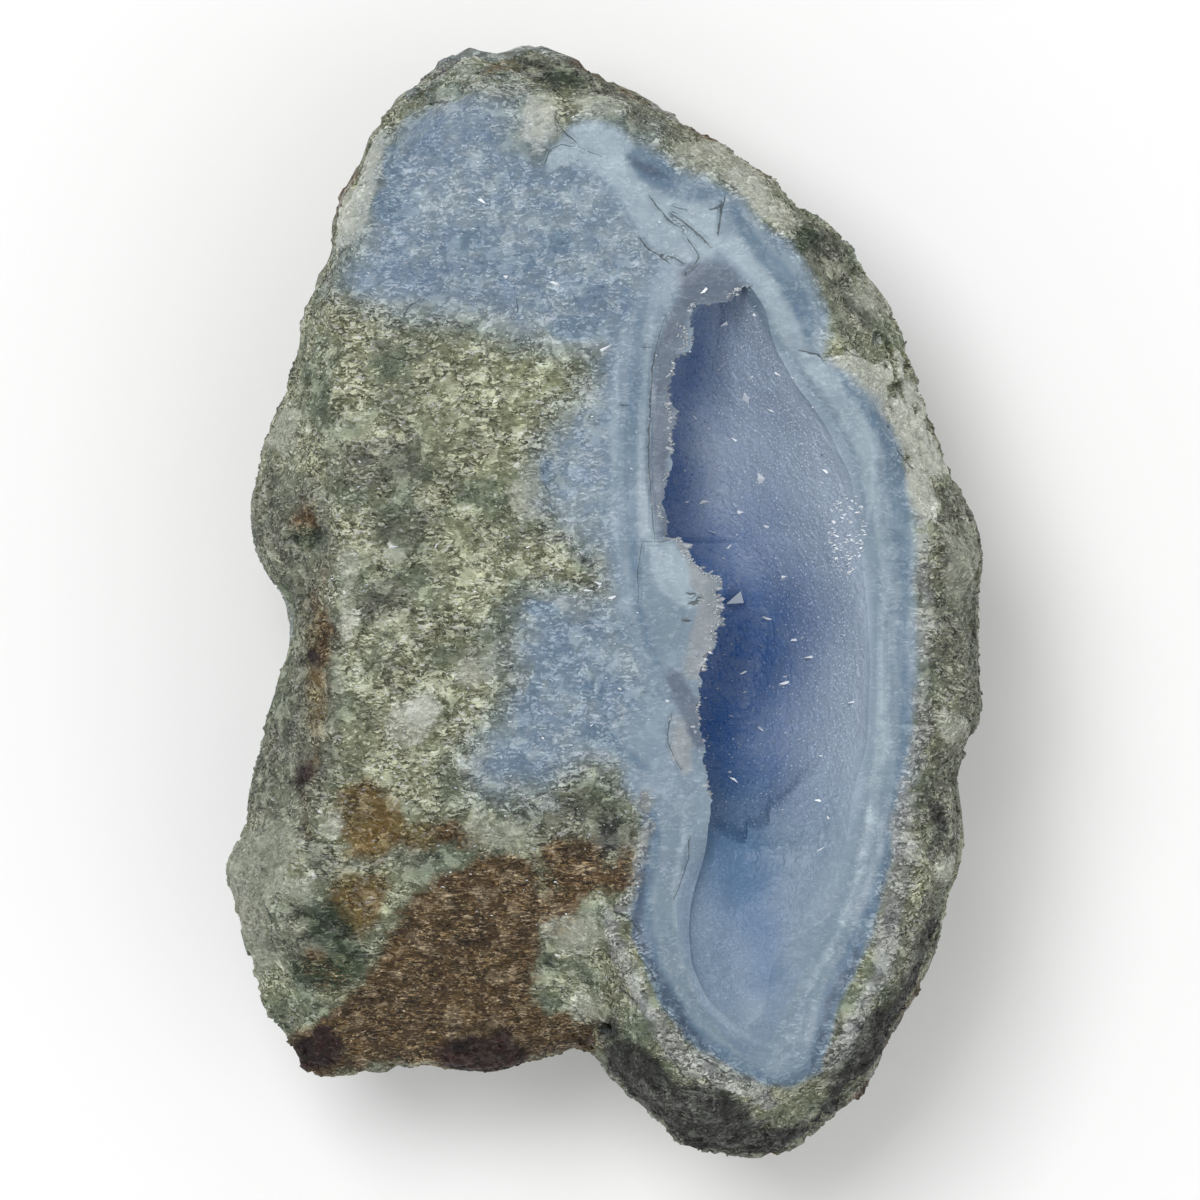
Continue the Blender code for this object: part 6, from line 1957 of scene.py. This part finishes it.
# fine bright crystals in rows along the broken edges of the lip
brightEdges = {
    "seed": 31, "step": 0.13, "radius": (0.05, 0.12), "length": (0.08, 0.3), "jitter": 0.08,
    "tip": 1.3,
    "backs": (0.0, 0.25, 0.5), "backShare": 0.9, "lean": 0.6, "towards": (0.7, 0.0, 0.4),
    "lines": (
        ((12.4, 30.0), (13.4, 30.6), (14.6, 31.2), (15.4, 31.5)), ((12.7, 29.0), (13.6, 28.6)),
        ((6.6, 6.1), (7.7, 6.1), (8.9, 5.3), (8.5, 4.8), (9.3, 3.7), (10.1, 3.3), (10.4, 2.7),
         (11.6, 2.4), (12.0, 1.6)),
        ((11.5, 1.0), (12.0, -0.4), (11.7, -1.2), (12.2, -2.1), (11.3, -3.0), (11.3, -3.9)),
        ((7.7, 27.4), (8.6, 27.2), (9.0, 26.4), (8.9, 25.4), (8.2, 24.8)),
        ((7.9, 26.2), (8.5, 26.4), (8.6, 25.6)),
        ((7.2, 23.9), (7.4, 22.6)), ((6.8, 19.4), (7.2, 18.6), (7.3, 17.6)),
        ((6.9, 16.6), (7.1, 15.2), (6.7, 14.4)),
        ((6.6, 12.8), (6.2, 11.6)), ((9.9, 29.5), (9.3, 29.4), (9.0, 28.8)),
        ((5.9, 9.5), (6.4, 8.0)),
    ),
}


def makeBrightEdges():
    rng = np.random.default_rng(brightEdges["seed"])
    places = []
    for line in brightEdges["lines"]:
        corners = np.array(line)
        along = np.concatenate(([0.0], np.cumsum(np.linalg.norm(np.diff(corners, axis=0), axis=1))))
        steps = np.arange(0.0, along[-1], brightEdges["step"])
        places.append(np.stack([np.interp(steps, along, corners[:, k]) for k in (0, 1)], axis=1))
    places = np.concatenate(places) + rng.normal(0.0, brightEdges["jitter"],
                                                 (sum(map(len, places)), 2))
    # each stands on the highest surface beside it
    backs = brightEdges["backs"]
    heights = [surfaceUnder(crust.data, places[:, 0] - back, places[:, 1]) for back in backs]
    x = places[:, 0] - np.array(backs)[np.argmax(heights, axis=0)] * brightEdges["backShare"]
    z = np.max(heights, axis=0)
    count = len(x)
    directions = rng.normal(0.0, brightEdges["lean"], (count, 3)) + brightEdges["towards"]
    radii = rng.uniform(*brightEdges["radius"], count)
    lengths = rng.uniform(*brightEdges["length"], count)
    spots = np.column_stack([x, places[:, 1], z])
    return makeCrystals("lip_edges", spots, directions, radii, lengths, radii * brightEdges["tip"])


studio = {
    "floorTint": (252, 252, 252), "floorSize": 8.0, "floorRoughness": 0.9,
    "keyPlace": (-0.5, 0.5, 1.8), "keySize": 0.8, "keyPower": 17.0,
    "fillPlace": (0.9, -0.5, 1.9), "fillSize": 1.6, "fillPower": 5.0,
    "sky": 0.58, "cameraHeight": 2.43, "lens": 720.0, "centreX": -0.1,
}

# facets turned so that they catch the key light, and coloured pale to white as a painted glint: x,
# y, radius in mm
glints = {
    "hollow": (
        (10.3, 30.8, 0.3), (12.5, 27.6, 0.35), (15.3, 28.4, 0.25), (14.5, 29.0, 0.25),
        (17.7, 22.5, 0.25),
        (15.1, 22.2, 0.25), (9.0, 18.3, 0.25), (15.9, 12.2, 0.6), (14.3, 8.5, 0.45),
        (16.4, 7.3, 0.3),
        (11.0, 6.8, 0.25), (8.7, 10.0, 0.25), (10.2, 9.8, 0.35), (12.8, 5.3, 0.2),
        (21.0, -5.8, 0.4),
        (18.6, -8.2, 0.45), (21.9, -24.8, 0.3), (22.4, -21.7, 0.3), (14.6, 20.3, 0.35),
        (17.0, 19.0, 0.3),
        (13.4, 16.0, 0.22), (20.0, 15.5, 0.3), (22.4, 12.8, 0.3), (18.5, 2.2, 0.3),
        (16.8, -1.8, 0.3),
        (19.4, -4.0, 0.25), (14.2, -7.3, 0.25), (24.2, -3.4, 0.25), (25.1, -10.2, 0.3),
        (16.0, -13.0, 0.3),
        (13.3, -18.0, 0.3), (21.6, -20.0, 0.25),
    ),
    "cluster": {"centre": (24.6, 6.8), "radii": (1.8, 4.2), "count": 150, "radius": (0.06, 0.17),
                "seed": 4,
                "tone": (0.0, 1.0)},
    "sparse": {"centre": (17.0, 4.0), "radii": (10.0, 26.0), "count": 280, "radius": (0.04, 0.13),
               "seed": 6,
               "tone": (-1.0, 0.5)},
    "face": (
        (-9.8, 32.1, 0.35), (-11.8, 39.7, 0.3), (-4.6, 31.5, 0.3), (0.4, 25.0, 0.35),
        (-1.2, 0.8, 0.4),
        (-0.4, 1.6, 0.3), (-20.6, 5.2, 0.3), (-16.1, 5.5, 0.3), (25.9, 30.3, 0.3), (1.0, 0.2, 0.3),
    ),
    "faceSparse": {"centre": (-8.0, 8.0), "radii": (20.0, 42.0), "count": 420,
                   "radius": (0.04, 0.13), "seed": 9,
                   "tone": (-0.6, 1.0)},
    "scatter": 11.0, "stretch": 3.2, "namedTone": 0.6,
    "blade": {"corners": ((14.0, 0.9), (14.3, -0.3), (12.5, -0.4)), "heights": (26.5, 26.9, 27.4),
              "tone": -0.2},
}


def glintPlaces(named, *spreads):
    rows = [(*row, glints["namedTone"]) for row in named]
    for spread in spreads:
        rng = np.random.default_rng(spread["seed"])
        for _ in range(spread["count"]):
            run, angle = math.sqrt(rng.uniform()), rng.uniform(0.0, 2.0 * math.pi)
            x = spread["centre"][0] + spread["radii"][0] * run * math.cos(angle)
            y = spread["centre"][1] + spread["radii"][1] * run * math.sin(angle)
            rows.append((x, y, rng.uniform(*spread["radius"]), rng.uniform(*spread["tone"])))
    return np.array(rows)


# small flat-topped facets, stretched sideways, with their tops turned between the light and the eye
def makeGlints(name, source, rows, least, blade=None):
    rng = np.random.default_rng(len(rows))
    height = surfaceUnder(source.data, rows[:, 0], rows[:, 1])
    fits = height > least
    rows, height = rows[fits], height[fits]
    toLight = np.array(studio["keyPlace"]) / np.linalg.norm(studio["keyPlace"])
    half = toLight + np.array((0.0, 0.0, 1.0))
    half = half / np.linalg.norm(half)
    points, faces = [], []
    for (x, y, radius, _), z in zip(rows, height):
        up = half + rng.normal(0.0, math.radians(glints["scatter"]), 3)
        up = up / np.linalg.norm(up)
        along = np.cross((math.sin(rng.normal(0.0, 0.5)), 1.0, 0.0), up)
        along = along / np.linalg.norm(along)
        across = np.cross(up, along)
        corners = sorted(rng.uniform(0.0, 2.0 * math.pi, 5))
        first = len(points)
        stretch = glints["stretch"] ** 0.5
        for lift, widen in ((0.12 + 0.3 * radius, 1.0), (-0.5, 1.25)):
            for angle in corners:
                spot = along * math.cos(angle) * radius * stretch * widen
                spot = spot + across * math.sin(angle) * radius / stretch * widen
                points.append(np.array((x, y, z)) + spot + up * lift)
        faces.append(tuple(range(first, first + 5)))
        faces.append(tuple(range(first + 9, first + 4, -1)))
        for k in range(5):
            n = (k + 1) % 5
            faces.append((first + k, first + 5 + k, first + 5 + n, first + n))
    tones = np.repeat(rows[:, 3], 10)
    if blade:
        first = len(points)
        ground = surfaceUnder(source.data, *np.array(blade["corners"]).T)
        points += [np.array((*corner, z)) for corner, z in zip(blade["corners"], blade["heights"])]
        points += [np.array((*corner, z - 0.5)) for corner, z in zip(blade["corners"], ground)]
        faces += [(first, first + 1, first + 2), (first + 5, first + 4, first + 3)]
        faces += [(first + k, first + 3 + k, first + 3 + (k + 1) % 3, first + (k + 1) % 3)
                  for k in range(3)]
        tones = np.append(tones, [blade["tone"]] * 6)
    obj = meshObject(name, points, faces)
    setAttribute(obj.data, "tone", tones)
    obj.data.materials.append(glintMaterial)
    return finishPiece(obj)


pieces += [makeLipTeeth(), makeBrightEdges()]
rows = glintPlaces(glints["hollow"], glints["cluster"], glints["sparse"])
pieces.append(makeGlints("hollow_glints", crust, rows, 1.0, glints["blade"]))
rows = glintPlaces(glints["face"], glints["faceSparse"])
pieces.append(makeGlints("face_glints", stone, rows, 33.0))

for obj, material in ((stone, stoneMaterial), (crust, crustMaterial)):
    obj.data.materials.clear()
    obj.data.materials.append(material)

bpy.data.objects.remove(blank, do_unlink=True)
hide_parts("geode_stone")
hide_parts("crystal_crust")
for piece in [stone, crust] + pieces:
    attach(piece, "root")


def makeFloor():
    half = studio["floorSize"] / 2.0
    mesh = bpy.data.meshes.new("floor")
    mesh.from_pydata([(-half, -half, 0), (half, -half, 0), (half, half, 0), (-half, half, 0)], [],
                     [(0, 1, 2, 3)])
    obj = addObject("floor", mesh)
    material, _, shader = newMaterial("pale floor")
    shader["Base Color"].default_value = tint(studio["floorTint"])
    shader["Roughness"].default_value = studio["floorRoughness"]
    mesh.materials.append(material)


def addLight(name, place, size, power):
    light = bpy.data.lights.new(name, "AREA")
    light.size = size
    light.energy = power
    obj = addObject(name, light)
    obj.location = place
    towards = Vector((0.0, 0.0, 0.02)) - Vector(place)
    obj.rotation_euler = towards.to_track_quat("-Z", "Y").to_euler()


def addCamera():
    camera = bpy.data.cameras.new("camera")
    camera.lens = studio["lens"]
    camera.sensor_width = 36.0
    camera.clip_end = 20.0
    obj = addObject("camera", camera)
    obj.location = (studio["centreX"] * mm, 0.0, studio["cameraHeight"])
    scene.camera = obj


makeFloor()
addLight("key light", studio["keyPlace"], studio["keySize"], studio["keyPower"])
addLight("fill light", studio["fillPlace"], studio["fillSize"], studio["fillPower"])
addCamera()
world = bpy.data.worlds.new("studio")
world.use_nodes = True
world.node_tree.nodes["Background"].inputs["Color"].default_value = (1.0, 1.0, 1.0, 1.0)
world.node_tree.nodes["Background"].inputs["Strength"].default_value = studio["sky"]
scene.world = world
scene.view_settings.view_transform = "Standard"
